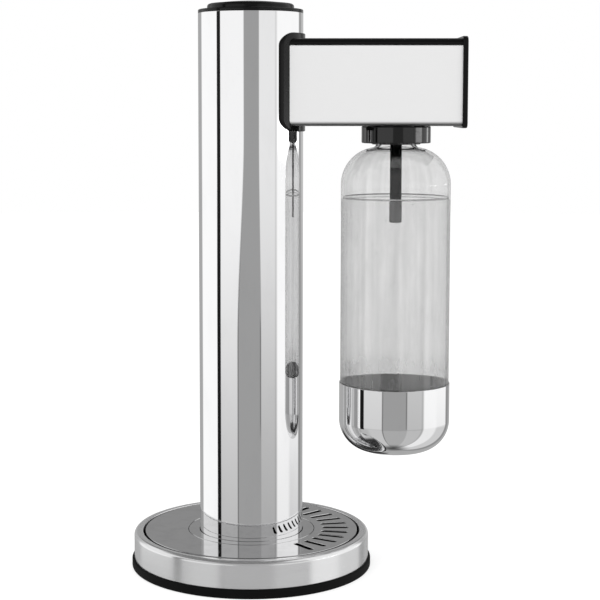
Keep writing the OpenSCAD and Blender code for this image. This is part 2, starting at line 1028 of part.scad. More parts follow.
module arm_bolts() {
  thread = root_x - tower_r + tower_t + carrier_wall + 2;
  color("#9a9b9c")
    at_arm_bolts()
      translate([0, 0, bolt_head_h])
        mirror([0, 0, 1])
          screw(bolt_r, bolt_head_r, bolt_head_h, thread);
}

// Gas line from the valve block to the carbonation head

module hose_fitting() {
  difference() {
    union() {
      rod_x(port_r, -port_len, fit, 0, 0);
      translate([fit, 0, 0])
        rotate([0, 90, 0])
          cylinder(r = port_hex_r, h = port_hex_h, $fn = 6);
      rod_x(barb_r, port_hex_h, port_hex_h + barb_len, 0, 0);
      for (i = [1 : 3])
        translate([port_hex_h + i * 3, 0, 0])
          rotate([0, 90, 0])
            cylinder(r1 = barb_r + run * 0.8, r2 = barb_r - 0.4, h = 2.4);
    }
    rod_x(1.2, -port_len - cut, port_hex_h + barb_len + cut, 0, 0);
  }
}

module hose_fittings() {
  color("#b08d57") {
    translate([block_r, 0, hose_z])
      hose_fitting();
    translate([bottle_x - head_r, 0, hose_z])
      mirror([1, 0, 0])
        hose_fitting();
  }
}

module gas_hose() {
  color("#d8d8d4")
    difference() {
      rod_x(hose_r, hose_x0, hose_x1, 0, hose_z);
      rod_x(hose_r - hose_t, hose_x0 - cut, hose_x1 + cut, 0, hose_z);
    }
}

module hose_ferrules() {
  length = 6;
  wall = 0.9;
  color("#b08d57")
    for (x = [hose_x0 + 2, hose_x1 - 2 - length])
      difference() {
        rod_x(hose_r + run + wall, x, x + length, 0, hose_z);
        rod_x(hose_r + run, x - cut, x + length + cut, 0, hose_z);
      }
}

// Carbonation head, hung from the arm frame's bridge

module carbonation_head() {
  color("#2c2d30")
    difference() {
      union() {
        translate([bottle_x, 0, 0])
          post(head_r, head_bot, bridge_bot);
        translate([bottle_x - head_plate_half, -head_plate_half, bridge_bot - head_plate_t])
          cube([2 * head_plate_half, 2 * head_plate_half, head_plate_t]);
      }
      translate([bottle_x, 0, 0]) {
        post(socket_r, head_bot - cut, socket_top);
        post(nozzle_r + run, socket_top - cut, nozzle_top);
        post(nozzle_bore_r, nozzle_top - cut, hose_z + 3);
      }
      rod_x(port_r + run, bottle_x - head_r - cut, bottle_x - head_r + port_depth, 0, hose_z);
      rod_x(1.5, bottle_x - head_r, relief_x, 0, hose_z);
      rod_x(relief_r + run, relief_x - relief_sink, relief_x + cut, 0, relief_z);
      at_head_screws()
        post(screw_r + run, bridge_bot - head_plate_t - cut, bridge_bot + cut);
    }
}

module head_screws() {
  color("#9a9b9c")
    at_head_screws()
      translate([0, 0, bridge_top + screw_head_h])
        mirror([0, 0, 1])
          screw(screw_r, screw_head_r, screw_head_h, bridge_t + head_plate_t - cut);
}

module bottle_seal() {
  color("#8a8b8c")
    translate([bottle_x, 0, 0])
      ring(socket_r - fit, nozzle_r + 1.5, seal_bot, socket_top);
}

module nozzle_tube() {
  color("#161617")
    translate([bottle_x, 0, 0])
      ring(nozzle_r, nozzle_bore_r, nozzle_bot + tip_h, nozzle_top);
}

module nozzle_tip() {
  color("#161617")
    translate([bottle_x, 0, 0])
      rotate_extrude()
        difference() {
          union() {
            box2d(0, nozzle_r - 0.8, nozzle_bot, nozzle_bot + tip_h);
            box2d(0, nozzle_r, nozzle_bot + 0.8, nozzle_bot + tip_h);
            translate([nozzle_r - 0.8, nozzle_bot + 0.8])
              circle(0.8);
          }
          box2d(-cut, tip_hole_r, nozzle_bot - cut, nozzle_bot + tip_h + cut);
          box2d(-cut, nozzle_bore_r, nozzle_bot + 2.5, nozzle_bot + tip_h + cut);
        }
}

// Collar that takes the bottle's neck, and the ring that holds it in the arm

module key_sector(r_in, r_out, z0, z1, a) {
  for (i = [0 : lug_count - 1])
    rotate([0, 0, i * 360 / lug_count - a / 2])
      rotate_extrude(angle = a)
        box2d(r_in, r_out, z0, z1);
}

module bottle_collar() {
  bore = neck_r + gap;
  lip = neck_r + lug_h + gap + 1.4;
  color("#17181a")
    translate([bottle_x, 0, 0])
      difference() {
        rotate_extrude()
          polygon([
            [bore, collar_lip_bot],
            [lip, collar_lip_bot],
            [lip, collar_bot],
            [collar_r - collar_chamfer, collar_bot],
            [collar_r, collar_bot + collar_chamfer],
            [collar_r, collar_top - collar_chamfer],
            [collar_r - collar_chamfer, collar_top],
            [hub_out_r, collar_top],
            [hub_out_r, clip_bot],
            [hub_out_r - hub_groove, clip_bot],
            [hub_out_r - hub_groove, clip_bot + clip_t + fit],
            [hub_out_r, clip_bot + clip_t + fit],
            [hub_out_r, hub_top],
            [hub_bore_r, hub_top],
            [hub_bore_r, head_bot - gap],
            [bore, head_bot - gap]
          ]);
        key_sector(neck_r, neck_r + lug_h + gap, collar_lip_bot - cut, lug_bot + lug_len + gap, key_a);
      }
}

module collar_clip() {
  color("#b8b9ba")
    translate([bottle_x, 0, 0])
      rotate([0, 0, 90 + clip_open_a / 2])
        rotate_extrude(angle = 360 - clip_open_a)
          box2d(hub_out_r - hub_groove + run, clip_r, clip_bot, clip_bot + clip_t);
}

// Pressure relief valve on the far side of the head

module relief_body() {
  color("#b08d57")
    difference() {
      union() {
        rod_x(relief_r, relief_x - relief_sink, relief_end_x, 0, relief_z);
        translate([relief_x + fit, 0, relief_z])
          rotate([0, 90, 0])
            cylinder(r = relief_hex_r, h = relief_hex_h, $fn = 6);
      }
      rod_x(poppet_r + run, relief_seat_x, relief_end_x + cut, 0, relief_z);
      rod_x(1.5, relief_x - relief_sink - cut, relief_seat_x + cut, 0, relief_z);
    }
}

module relief_poppet() {
  stem_r = 1.4;
  back = relief_seat_x + poppet_len;
  color("#c8c9ca") {
    rod_x(poppet_r, relief_seat_x + 0.1, back, 0, relief_z);
    rod_x(stem_r, back - cut, back + 5, 0, relief_z);
  }
}

module relief_spring() {
  color("#b8b9ba")
    translate([0, 0, relief_z])
      rotate([0, 90, 0])
        coil(poppet_r - 1.2, relief_wire, relief_seat_x + poppet_len,
          relief_end_x - relief_cap_len, relief_turns);
}

module relief_cap() {
  color("#b08d57")
    difference() {
      rod_x(poppet_r - run, relief_end_x - relief_cap_len, relief_end_x, 0, relief_z);
      rod_x(1.6, relief_end_x - relief_cap_len - cut, relief_end_x + cut, 0, relief_z);
    }
}

// Bottle with its steel cup

module bottle() {
  bore = neck_r - neck_t;
  color([0.84, 0.87, 0.88, 0.5])
    translate([bottle_x, 0, 0]) {
      rotate_extrude()
        difference() {
          union() {
            vessel2d(bottle_r, bottle_bot, shoulder_z, heel_r, shoulder_r);
            box2d(0, neck_r, shoulder_z, mouth_z);
            box2d(0, neck_ring_r, shoulder_z, shoulder_top + neck_ring_t);
          }
          vessel2d(bottle_r - bottle_t, bottle_bot + bottle_t, shoulder_z,
            heel_r - bottle_t, shoulder_r - bottle_t);
          box2d(0, bore, shoulder_z, mouth_z + cut);
        }
      key_sector(neck_r - cut, neck_r + lug_h, lug_bot, lug_bot + lug_len, lug_a);
    }
}

module bottle_cup() {
  color("#d4d5d6")
    translate([bottle_x, 0, 0])
      rotate_extrude()
        difference() {
          vessel2d(cup_r, cup_bot, cup_top, heel_r + fit + cup_t, cup_t);
          vessel2d(cup_r - cup_t, cup_bot + cup_t, cup_top + cut, heel_r + fit, cup_t);
          box2d(0, cup_r + cut, cup_top, cup_top + 2 * cut);
        }
}

foot_ring();
base_shell();
base_frame();
counterweight();
weight_screws();
drip_tray();
drip_plate();
tower_ring();
tower_tube();
tower_flange();
tower_screws();
cylinder_guide();
gas_cylinder();
cylinder_valve();
valve_pin();
valve_carrier();
valve_block();
valve_gasket();
block_screws();
pin_seal();
gland_nut();
push_pin();
valve_lever();
lever_pin();
button_bezel();
carbonate_button();
button_spring();
arm_saddle();
arm_sleeve();
arm_top_cover();
arm_end_cap();
arm_frame();
arm_bolts();
hose_fittings();
gas_hose();
hose_ferrules();
carbonation_head();
head_screws();
bottle_seal();
nozzle_tube();
nozzle_tip();
bottle_collar();
collar_clip();
relief_body();
relief_poppet();
relief_spring();
relief_cap();
bottle();
bottle_cup();
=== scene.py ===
"""Finish of the sparkling water maker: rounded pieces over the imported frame, materials and a white studio."""
import json
import random
from math import acos, asin, atan2, ceil, cos, degrees, hypot, pi, radians, sin, sqrt, tan

import bpy
from bpy.props import FloatProperty, FloatVectorProperty, IntProperty, PointerProperty
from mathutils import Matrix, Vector
from mathutils.geometry import delaunay_2d_cdt


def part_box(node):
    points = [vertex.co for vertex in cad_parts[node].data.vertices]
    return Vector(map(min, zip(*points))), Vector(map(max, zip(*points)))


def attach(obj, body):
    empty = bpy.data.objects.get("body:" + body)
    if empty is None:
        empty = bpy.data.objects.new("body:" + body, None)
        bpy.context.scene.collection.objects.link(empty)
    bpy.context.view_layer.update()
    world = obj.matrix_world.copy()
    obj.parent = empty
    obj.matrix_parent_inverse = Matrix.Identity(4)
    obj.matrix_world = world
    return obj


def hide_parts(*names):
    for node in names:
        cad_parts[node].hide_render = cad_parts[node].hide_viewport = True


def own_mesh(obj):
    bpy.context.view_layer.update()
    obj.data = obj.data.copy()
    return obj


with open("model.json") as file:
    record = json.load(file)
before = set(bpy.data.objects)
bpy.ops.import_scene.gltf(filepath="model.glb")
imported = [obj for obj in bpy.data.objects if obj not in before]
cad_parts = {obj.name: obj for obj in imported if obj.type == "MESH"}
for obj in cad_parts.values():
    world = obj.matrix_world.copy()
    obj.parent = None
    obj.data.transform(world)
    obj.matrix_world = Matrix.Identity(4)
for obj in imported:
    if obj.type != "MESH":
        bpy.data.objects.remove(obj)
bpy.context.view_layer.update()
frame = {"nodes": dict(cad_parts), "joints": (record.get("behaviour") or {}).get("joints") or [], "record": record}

bl_info = {
    "name": "Sparkling water maker",
    "version": (1, 0, 0),
    "blender": (4, 5, 0),
    "location": "3D View > Sidebar > Water maker",
    "description": "Dresses the packed water maker with finished pieces, materials and a studio",
    "category": "Object",
}

MM = 0.001
DEGREE = degrees(1)
UP = Vector((0, 0, 1))
OUT = Vector((1, 0, 0))
STEPS = 192  # sides of a turned piece
FIT = 0.15 * MM  # gap between pieces that sit in one another
CREASE = 0.1 * MM  # radius of an inner corner
PLATE_EDGE = 0.45 * MM  # radius of the top edges of plate and tower ring
SPIGOT_WALL = 2 * MM  # wall of the end cap's spigot
LUG_LIFT = 6 * MM  # from the collar's bottom to the lugs on the neck
MENISCUS_WIDTH = 6 * MM


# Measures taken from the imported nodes

def low(node):
    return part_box(node)[0]


def high(node):
    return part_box(node)[1]


def reach(node, axis_x=0.0):
    """Least and greatest distance of a node's points from the upright line at axis_x."""
    far = [hypot(v.co.x - axis_x, v.co.y) for v in frame["nodes"][node].data.vertices]
    return min(far), max(far)


def span(node, axis_x=0.0):
    """Least and greatest radius, bottom and top of a node."""
    return (*reach(node, axis_x), low(node).z, high(node).z)


BOTTLE_X = (low("bottle_cup").x + high("bottle_cup").x) / 2


# Sizes and colours

def length(name, description, millimetres):
    return FloatProperty(name=name, description=description, default=millimetres * MM, unit="LENGTH")


def number(name, description, value):
    return IntProperty(name=name, description=description, default=value)


def colour(name, description, value):
    return FloatVectorProperty(name=name, description=description, default=value, subtype="COLOR", min=0, max=1)


class MakerSizes(bpy.types.PropertyGroup):
    """Sizes of the finish that the frame doesn't give by itself"""
    sheet: length("Sheet", "Thickness of the steel sheet", 1.2)
    soft_edge: length("Soft edge", "Radius that takes the sharpness off an edge", 0.3)
    rim_roll: length("Rim roll", "Radius of the base shell's rolled top edge", 3.5)
    rim_flange: length("Rim flange", "Depth of the flange inside the rim", 3.5)
    slot_count: number("Slots", "Number of drip slots", 11)
    slot_pitch: FloatProperty(
        name="Slot pitch", description="Angle between drip slots", default=radians(10.5), subtype="ANGLE")
    slot_width: length("Slot width", "Width of a drip slot", 4.6)
    slot_inset: length("Slot inset", "From the plate's inner edge to the slots", 6.1)
    slot_margin: length("Slot margin", "From the slots to the plate's outer edge", 6.5)
    button_edge: length("Button edge", "Radius of the button's top edge", 2.3)
    button_crown: length("Button crown", "Rise of the button's top over its edge", 2.2)
    button_wall: length("Button wall", "Wall of the button", 3)
    button_lip: length("Button lip", "Height of the lip that holds the button", 3.5)
    saddle_corner: length("Saddle corner", "Radius of the saddle's corners", 10)
    saddle_edge: length("Saddle edge", "Radius of the saddle's outer edge", 0.9)
    arm_edge: length("Arm edge", "Radius of the arm's long edges", 4.5)
    arm_lip: length("Arm lip", "Width of the sleeve's turned-in lips", 4)
    lip_edge: length("Lip edge", "Radius of the sleeve's upper edge", 1.4)
    cover_wall: length("Cover wall", "Wall of the top cover", 2.5)
    shoulder: length("Shoulder", "Radius of the bottle's shoulder", 29)
    heel: length("Heel", "Radius of the bottle's lower corner", 24)
    bottle_wall: length("Bottle wall", "Wall of the bottle", 1.3)
    neck: length("Neck", "Radius of the bottle's neck", 15)
    neck_wall: length("Neck wall", "Wall of the bottle's neck", 3.5)
    neck_ring: length("Neck ring", "How far the neck's ring stands out", 4.5)
    cup_sheet: length("Cup sheet", "Sheet of the bottle's cup", 0.6)
    water_level: length("Water level", "Height of the water above the table", 289.6)
    meniscus: length("Meniscus", "How far the water climbs the bottle's wall", 1.6)
    bubbles: number("Bubbles", "Number of gas bubbles in the water", 70)
    button_wire: length("Button wire", "Wire of the button's spring", 1.6)
    button_turns: number("Button turns", "Turns of the button's spring", 5)
    relief_wire: length("Relief wire", "Wire of the relief valve's spring", 0.8)
    relief_turns: number("Relief turns", "Turns of the relief valve's spring", 6)


class MakerColours(bpy.types.PropertyGroup):
    """Colours of the finishes"""
    steel: colour("Steel", "Polished steel", (0.9, 0.9, 0.905))
    satin: colour("Satin steel", "Satin steel of the arm", (0.985, 0.985, 0.985))
    shell: colour("Shell", "Brushed steel of the base", (0.82, 0.82, 0.825))
    black: colour("Black", "Gloss black mouldings", (0.006, 0.006, 0.006))
    rubber: colour("Rubber", "Foot ring and seals", (0.004, 0.004, 0.004))
    seal: colour("Seal", "Grey seal under the head", (0.3, 0.3, 0.31))
    moulding: colour("Moulding", "Inner plastic parts", (0.06, 0.06, 0.064))
    alloy: colour("Alloy", "Machined aluminium", (0.56, 0.56, 0.58))
    cylinder: colour("Cylinder", "Lacquered gas cylinder", (0.4, 0.41, 0.43))
    brass: colour("Brass", "Valves and fittings", (0.69, 0.53, 0.27))
    zinc: colour("Zinc", "Screws, pins and springs", (0.62, 0.63, 0.65))
    iron: colour("Iron", "Cast counterweight", (0.16, 0.16, 0.165))
    hose: colour("Hose", "Pressure hose", (0.78, 0.78, 0.75))
    clear: colour("Clear", "Clear bottle plastic", (0.868, 0.868, 0.868))


class MakerStudio(bpy.types.PropertyGroup):
    """Camera, floor and light"""
    camera_at: FloatVectorProperty(
        name="Camera", description="Place of the camera", default=(0.016946, -1.189771, 0.361873), subtype="XYZ")
    pitch: FloatProperty(
        name="Pitch", description="How far the camera looks down", default=radians(5.645), subtype="ANGLE")
    lens: FloatProperty(name="Lens", description="Focal length on a 36 mm sensor", default=91.92)
    shift: FloatVectorProperty(name="Shift", description="Shift of the picture", default=(0.0455, -0.0728), size=2)
    floor_radius: FloatProperty(name="Floor", description="Radius of the floor", default=4.0, unit="LENGTH")
    light: FloatProperty(name="Light", description="Level of the soft light", default=0.9)
    lamp: FloatProperty(name="Lamp", description="Power of the softbox above", default=6.0, unit="POWER")


# Meshes with their own normals

class Skin:
    """Corners and faces of one piece; a face turns itself to the side that its normals point to."""

    def __init__(self):
        self.index = {}
        self.points = []
        self.faces = []
        self.normals = []
        self.slots = []

    def place(self, point):
        key = tuple(round(c * 1e7) for c in point)
        if key not in self.index:
            self.index[key] = len(self.points)
            self.points.append(Vector(point))
        return self.index[key]

    def face(self, corners, slot=0):
        kept = []
        for point, normal in corners:
            spot = self.place(point)
            if spot not in [k[0] for k in kept]:
                kept.append((spot, normal))
        if len(kept) < 3:
            return
        area = Vector((0, 0, 0))
        for (a, _), (b, _) in zip(kept, kept[1:] + kept[:1]):
            area += self.points[a].cross(self.points[b])
        if area.dot(sum((n for _, n in kept), Vector((0, 0, 0)))) < 0:
            kept.reverse()
        self.faces.append([k[0] for k in kept])
        self.normals.extend(k[1] for k in kept)
        self.slots.append(slot)

    def strip(self, one, two, closed=True, slot=0):
        """Quads between two loops of as many corners."""
        count = len(one)
        for i in range(count if closed else count - 1):
            j = (i + 1) % count
            self.face([one[i], one[j], two[j], two[i]], slot)

    def stack(self, loops):
        for one, two in zip(loops, loops[1:]):
            self.strip(one, two)

    def panel(self, outline, holes, place, normal):
        """A flat sheet with holes, from outlines in its own plane."""
        flat, edges = [], []
        for ring in [outline, *holes]:
            start = len(flat)
            flat.extend(Vector(p) for p in ring)
            edges.extend((start + i, start + (i + 1) % len(ring)) for i in range(len(ring)))
        verts, _, tris, *_ = delaunay_2d_cdt(flat, edges, [], 0, 1e-9)
        for tri in tris:
            mid = sum((verts[i] for i in tri), Vector((0, 0))) / len(tri)
            if inside(mid, outline) and not any(inside(mid, h) for h in holes):
                self.face([(place(verts[i]), normal) for i in tri])

    def build(self, name, body, materials, nodes=()):
        """Makes the object, puts it on its body and hides the nodes that it stands for."""
        mesh = bpy.data.meshes.new(name)
        mesh.from_pydata(self.points, [], self.faces)
        mesh.polygons.foreach_set("use_smooth", [True] * len(self.faces))
        mesh.polygons.foreach_set("material_index", self.slots)
        mesh.normals_split_custom_set(self.normals)
        for material in materials:
            mesh.materials.append(material)
        piece = bpy.data.objects.new(name, mesh)
        bpy.context.scene.collection.objects.link(piece)
        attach(piece, body)
        if nodes:
            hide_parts(*nodes)
        return piece


def inside(point, ring):
    hit = False
    for a, b in zip(ring, list(ring[1:]) + [ring[0]]):
        if (a[1] > point[1]) != (b[1] > point[1]):
            hit ^= point[0] < (b[0] - a[0]) * (point[1] - a[1]) / (b[1] - a[1]) + a[0]
    return hit


def rounded(corners, closed=True, fine=10):
    """Outline through corners (u, v, radius), anticlockwise, as (u, v, normal u, normal v)."""
    out = []
    count = len(corners)
    for i, (u, v, radius) in enumerate(corners):
        here = Vector((u, v))
        if not closed and i in (0, count - 1):
            other = Vector(corners[1 if i == 0 else count - 2][:2])
            way = (other - here if i == 0 else here - other).normalized()
            out.append((u, v, way.y, -way.x))
            continue
        before, after = Vector(corners[i - 1][:2]), Vector(corners[(i + 1) % count][:2])
        d1, d2 = (here - before).normalized(), (after - here).normalized()
        turn = atan2(d1.x * d2.y - d1.y * d2.x, d1.dot(d2))
        if abs(turn) < 1e-6:
            out.append((u, v, d1.y, -d1.x))
            continue
        side = 1 if turn > 0 else -1
        start = here - d1 * radius * tan(abs(turn) / 2)
        centre = start + Vector((-d1.y, d1.x)) * side * radius
        parts = max(2, ceil(abs(turn) / radians(90) * fine))
        for k in range(parts + 1):
            a = turn * k / parts
            n = Vector((d1.y * cos(a) + d1.x * sin(a), d1.y * sin(a) - d1.x * cos(a)))
            p = centre + n * side * radius
            out.append((p.x, p.y, n.x, n.y))
    return out


def arc(centre, radius, a0, a1, parts):
    """Arc as (u, v, normal u, normal v), angles in degrees."""
    out = []
    for k in range(parts + 1):
        a = radians(a0 + (a1 - a0) * k / parts)
        n = (cos(a), sin(a))
        out.append((centre[0] + radius * n[0], centre[1] + radius * n[1], *n))
    return out


def turned(skin, rows, closed=True, axis_x=0.0, steps=STEPS, slot_of=None, bore=None):
    """Turns an outline (r, z, normals) about the upright line at axis_x; bore may move r by angle."""
    rings = []
    for r, z, nr, nz in rows:
        ring = []
        for k in range(steps):
            a = 2 * pi * k / steps
            q = bore(r, z, a) if bore else r
            c, s = cos(a), sin(a)
            ring.append((Vector((axis_x + q * c, q * s, z)), Vector((nr * c, nr * s, nz))))
        rings.append(ring)
    pairs = list(zip(range(len(rings)), range(1, len(rings))))
    if closed:
        pairs.append((len(rings) - 1, 0))
    for i, j in pairs:
        slot = slot_of(rows[i], rows[j]) if slot_of else 0
        skin.strip(rings[i], rings[j], slot=slot)


def lathe(name, body, slot_name, material, node, corners, fine, **turning):
    """A piece turned from one closed outline of rounded corners."""
    skin = Skin()
    turned(skin, rounded(corners, fine=fine), **turning)
    skin.build(name, body, [material], [node])


def circle(radius, parts=STEPS, axis_x=0.0):
    turns = [2 * pi * k / parts for k in range(parts)]
    return [(axis_x + radius * cos(a), radius * sin(a)) for a in turns]


def quarter(parts):
    """Angles from 0 to 90 degrees."""
    return [radians(90 * k / parts) for k in range(parts + 1)]


def mixed(one, two, share):
    return tuple(a * (1 - share) + b * share for a, b in zip(one, two))


def facing(loop, normal):
    return [(p, normal) for p, _ in loop]


def round_box(half, z0, z1, radius, side=24, corner=10):
    """Rounded oblong across Y and Z, anticlockwise as seen from +X, as (y, z, normal y, normal z)."""
    out = []
    places = ((half - radius, z0 + radius, -90), (half - radius, z1 - radius, 0),
              (radius - half, z1 - radius, 90), (radius - half, z0 + radius, 180))
    for i, (y, z, a0) in enumerate(places):
        bend = arc((y, z), radius, a0, a0 + 90, corner)
        out.extend(bend)
        y2, z2, a2 = places[(i + 1) % 4]
        first = arc((y2, z2), radius, a2, a2 + 90, corner)[0]
        out.extend(mixed(bend[-1], first, k / side) for k in range(1, side))
    return out


# Materials

class Wire:
    """A value in a node tree; sums, differences, products and powers add their Math nodes."""

    def __init__(self, bench, socket):
        self.bench = bench
        self.socket = socket

    def __add__(self, other):
        return self.bench.math("ADD", self, other)

    def __radd__(self, other):
        return self.bench.math("ADD", other, self)

    def __sub__(self, other):
        return self.bench.math("SUBTRACT", self, other)

    def __rsub__(self, other):
        return self.bench.math("SUBTRACT", other, self)

    def __mul__(self, other):
        return self.bench.math("MULTIPLY", self, other)

    def __rmul__(self, other):
        return self.bench.math("MULTIPLY", other, self)

    def __pow__(self, other):
        return self.bench.math("POWER", self, other)

    def __neg__(self):
        return self.bench.math("MULTIPLY", self, -1.0)

    def __abs__(self):
        return self.bench.math("ABSOLUTE", self)


class Bench:
    """The node tree of a material or of the world."""

    def __init__(self, tree):
        self.tree = tree
        tree.nodes.clear()

    def add(self, kind, settings=None, sockets=None):
        node = self.tree.nodes.new("ShaderNode" + kind)
        for key, value in (settings or {}).items():
            setattr(node, key, value)
        for key, value in (sockets or {}).items():
            if isinstance(value, Wire):
                self.tree.links.new(value.socket, node.inputs[key])
            else:
                node.inputs[key].default_value = value
        return node

    def wire(self, node, output=0):
        return Wire(self, node.outputs[output])

    def math(self, operation, *values):
        return self.wire(self.add("Math", {"operation": operation}, dict(enumerate(values))))

    def angle(self, across, along):
        return self.math("ARCTAN2", across, along)

    def spot(self):
        """Place on the piece, in metres."""
        return self.wire(self.add("TexCoord"), "Object")

    def split(self, vector):
        node = self.add("SeparateXYZ", None, {0: vector})
        return [self.wire(node, i) for i in range(3)]

    def join(self, x, y, z):
        return self.wire(self.add("CombineXYZ", None, {0: x, 1: y, 2: z}))

    def noise(self, vector, scale, detail=3.0, rough=0.5):
        node = self.add("TexNoise", None, {"Vector": vector, "Scale": scale, "Detail": detail, "Roughness": rough})
        return self.wire(node, "Fac")

    def grain(self, scale, detail=3.0, rough=0.5, stretch=None):
        """Noise over the piece; stretch squeezes it along the axes."""
        spot = self.spot()
        if stretch:
            spot = self.wire(self.add("VectorMath", {"operation": "MULTIPLY"}, {0: spot, 1: stretch}))
        return self.noise(spot, scale, detail, rough)

    def rise(self, value, low_end, high_end):
        """Smooth step from 0 at low_end to 1 at high_end."""
        node = self.add("MapRange", {"interpolation_type": "SMOOTHSTEP"},
                        {"Value": value, "From Min": low_end, "From Max": high_end})
        return self.wire(node, "Result")

    def band(self, value, low_end, high_end, soft):
        up = self.rise(value, low_end - soft, low_end + soft)
        return up * (1 - self.rise(value, high_end - soft, high_end + soft))

    def blend(self, share, one, two):
        """Colour one at share 0, colour two at share 1."""
        node = self.add("Mix", {"data_type": "RGBA"}, {0: share, 6: one, 7: two})
        return self.wire(node, 2)

    def tint(self, share, rgb, one, two):
        """A colour made lighter or darker: times one at share 0, times two at share 1."""
        return self.blend(share, shade(rgb, one), shade(rgb, two))

    def fade(self, share, one, two):
        """Number one at share 0, number two at share 1."""
        node = self.add("Mix", {"data_type": "FLOAT"}, {0: share, 2: one, 3: two})
        return self.wire(node, 0)

    def bump(self, height, distance, strength):
        node = self.add("Bump", None, {"Height": height, "Distance": distance, "Strength": strength})
        return self.wire(node)

    def surface(self, sockets):
        shader = self.add("BsdfPrincipled", None, sockets)
        self.add("OutputMaterial", None, {"Surface": self.wire(shader)})


def shade(rgb, factor):
    return (*(min(1.0, c * factor) for c in rgb), 1.0)


def grey(level):
    return (level, level, level, 1.0)


def finish(paint):
    """Makes a painting function give its material: it takes the name first and paints at the first call."""
    def material(name, *choices):
        found = bpy.data.materials.get(name)
        if not found:
            found = bpy.data.materials.new(name)
            found.use_nodes = True
            paint(Bench(found.node_tree), *choices)
        return found
    return material


def palette():
    return bpy.context.scene.maker_colours


def sizes():
    return bpy.context.scene.maker_sizes


@finish
def polished_steel(b):
    """Mirror steel with faint wiping marks and polishing lines."""
    lines = b.grain(1.0, 2.0, stretch=(40.0, 40.0, 2600.0))
    marks = b.rise(b.grain(55.0, 5.0, 0.6, (1.0, 1.0, 0.35)), 0.45, 0.75)
    b.surface({
        "Base Color": b.tint(marks, palette().steel, 1.0, 0.965),
        "Metallic": 1.0,
        "Roughness": 0.022 + marks * 0.03 + lines * 0.012,
        "Normal": b.bump(lines, 0.004 * MM, 0.25),
    })


@finish
def plate_steel(b):
    """Polished plate with fine rings from its turning."""
    x, y, _ = b.split(b.spot())
    r = (x * x + y * y) ** 0.5
    rings = b.noise(b.join(r * 2400.0, 0.0, 0.0), 1.0, 3.0, 0.7)
    wipe = b.rise(b.grain(70.0, 5.0, 0.6), 0.42, 0.75)
    b.surface({
        "Base Color": b.tint(wipe, palette().steel, 0.82, 0.74),
        "Metallic": 1.0,
        "Roughness": 0.05 + wipe * 0.05 + rings * 0.02,
        "Normal": b.bump(rings, 0.006 * MM, 0.25),
    })


@finish
def brushed_shell(b):
    """Steel brushed round the base's skirt."""
    x, y, z = b.split(b.spot())
    turn = b.angle(y, x)
    r = (x * x + y * y) ** 0.5
    grain = b.noise(b.join(turn * 5.0, z * 2600.0, r * 2600.0), 1.0, 4.0, 0.65)
    broad = b.noise(b.join(turn * 1.4, z * 160.0, r * 160.0), 1.0, 2.0)
    b.surface({
        "Base Color": b.tint(grain, palette().shell, 0.96, 1.06),
        "Metallic": 0.8,
        "Roughness": 0.11 + grain * 0.09 + broad * 0.05,
        "Normal": b.bump(grain, 0.012 * MM, 0.3),
    })


@finish
def satin_sleeve(b):
    """Satin steel with short strokes along the arm, with painted shade on its underside: darker and fully metallic
    there.
    """
    grain = b.grain(1.0, 4.0, 0.6, (60.0, 2400.0, 2400.0))
    broad = b.grain(1.0, stretch=(6.0, 30.0, 30.0))
    # Painted shade: faces turned down take a dark base colour and full metal.
    under = 1 - b.rise(b.split(b.wire(b.add("NewGeometry"), "Normal"))[2], -0.75, -0.15)
    satin = palette().satin
    b.surface({
        "Base Color": b.blend(under, b.tint(grain, satin, 0.98, 1.03), shade(satin, 0.25)),
        "Metallic": b.fade(under, 0.1, 1.0),
        "Roughness": 0.36 + grain * 0.08 + broad * 0.04,
        "Normal": b.bump(grain, 0.01 * MM, 0.3),
    })


@finish
def gloss_black(b, sheen=0.2, rough=0.13):
    """Gloss black moulding with a faint orange peel and dust-fine scuffs."""
    peel = b.grain(420.0, 2.0)
    scuff = b.rise(b.grain(160.0, 6.0, 0.7, (1.0, 1.0, 3.0)), 0.55, 0.8)
    b.surface({
        "Base Color": b.tint(scuff, palette().black, 1.0, 1.8),
        "Roughness": rough + scuff * 0.12 + peel * 0.03,
        "Specular IOR Level": sheen,
        "Normal": b.bump(peel, 0.01 * MM, 0.3),
    })


@finish
def nozzle_black(b):
    """Gloss black moulding, with painted light under water: a speckled grey below the water level."""
    level = sizes().water_level
    painted_light_speckle = b.grain(700.0, 4.0, 0.7)
    # Painted light: below the water level the base colour turns a speckled grey.
    wet = 1 - b.rise(b.split(b.spot())[2], level - 1.2 * MM, level - 0.2 * MM)
    b.surface({
        "Base Color": b.blend(wet * (0.5 + painted_light_speckle), shade(palette().black, 0.5), grey(0.17)),
        "Roughness": 0.13 + wet * 0.3,
        "Specular IOR Level": 0.05,
        "Normal": b.bump(painted_light_speckle, 0.03 * MM, 0.3),
    })


@finish
def satin_black(b):
    """Satin black moulding with a fine spark-eroded grain."""
    grain = b.grain(2600.0, 2.0)
    b.surface({
        "Base Color": b.tint(b.grain(60.0, 4.0), palette().black, 1.4, 2.4),
        "Roughness": 0.34 + grain * 0.14,
        "IOR": 1.5,
        "Normal": b.bump(grain, 0.03 * MM, 0.5),
    })


@finish
def foot_rubber(b, rgb):
    """Matt rubber with a moulded grain and a dusty bloom."""
    grain = b.grain(1800.0, 3.0, 0.6)
    bloom = b.rise(b.grain(90.0, 5.0, 0.65), 0.5, 0.85)
    b.surface({
        "Base Color": b.tint(bloom, rgb, 1.0, 1.7),
        "Roughness": 0.62 + grain * 0.2,
        "Specular IOR Level": 0.12,
        "Normal": b.bump(grain, 0.04 * MM, 0.5),
    })


@finish
def inner_moulding(b):
    """Engineering plastic with flow marks."""
    grain = b.grain(1500.0, 2.0)
    flow = b.grain(45.0, 5.0, 0.6, (1.0, 1.0, 0.3))
    b.surface({
        "Base Color": b.tint(flow, palette().moulding, 0.8, 1.3),
        "Roughness": 0.45 + grain * 0.15,
        "Normal": b.bump(grain, 0.03 * MM, 0.5),
    })


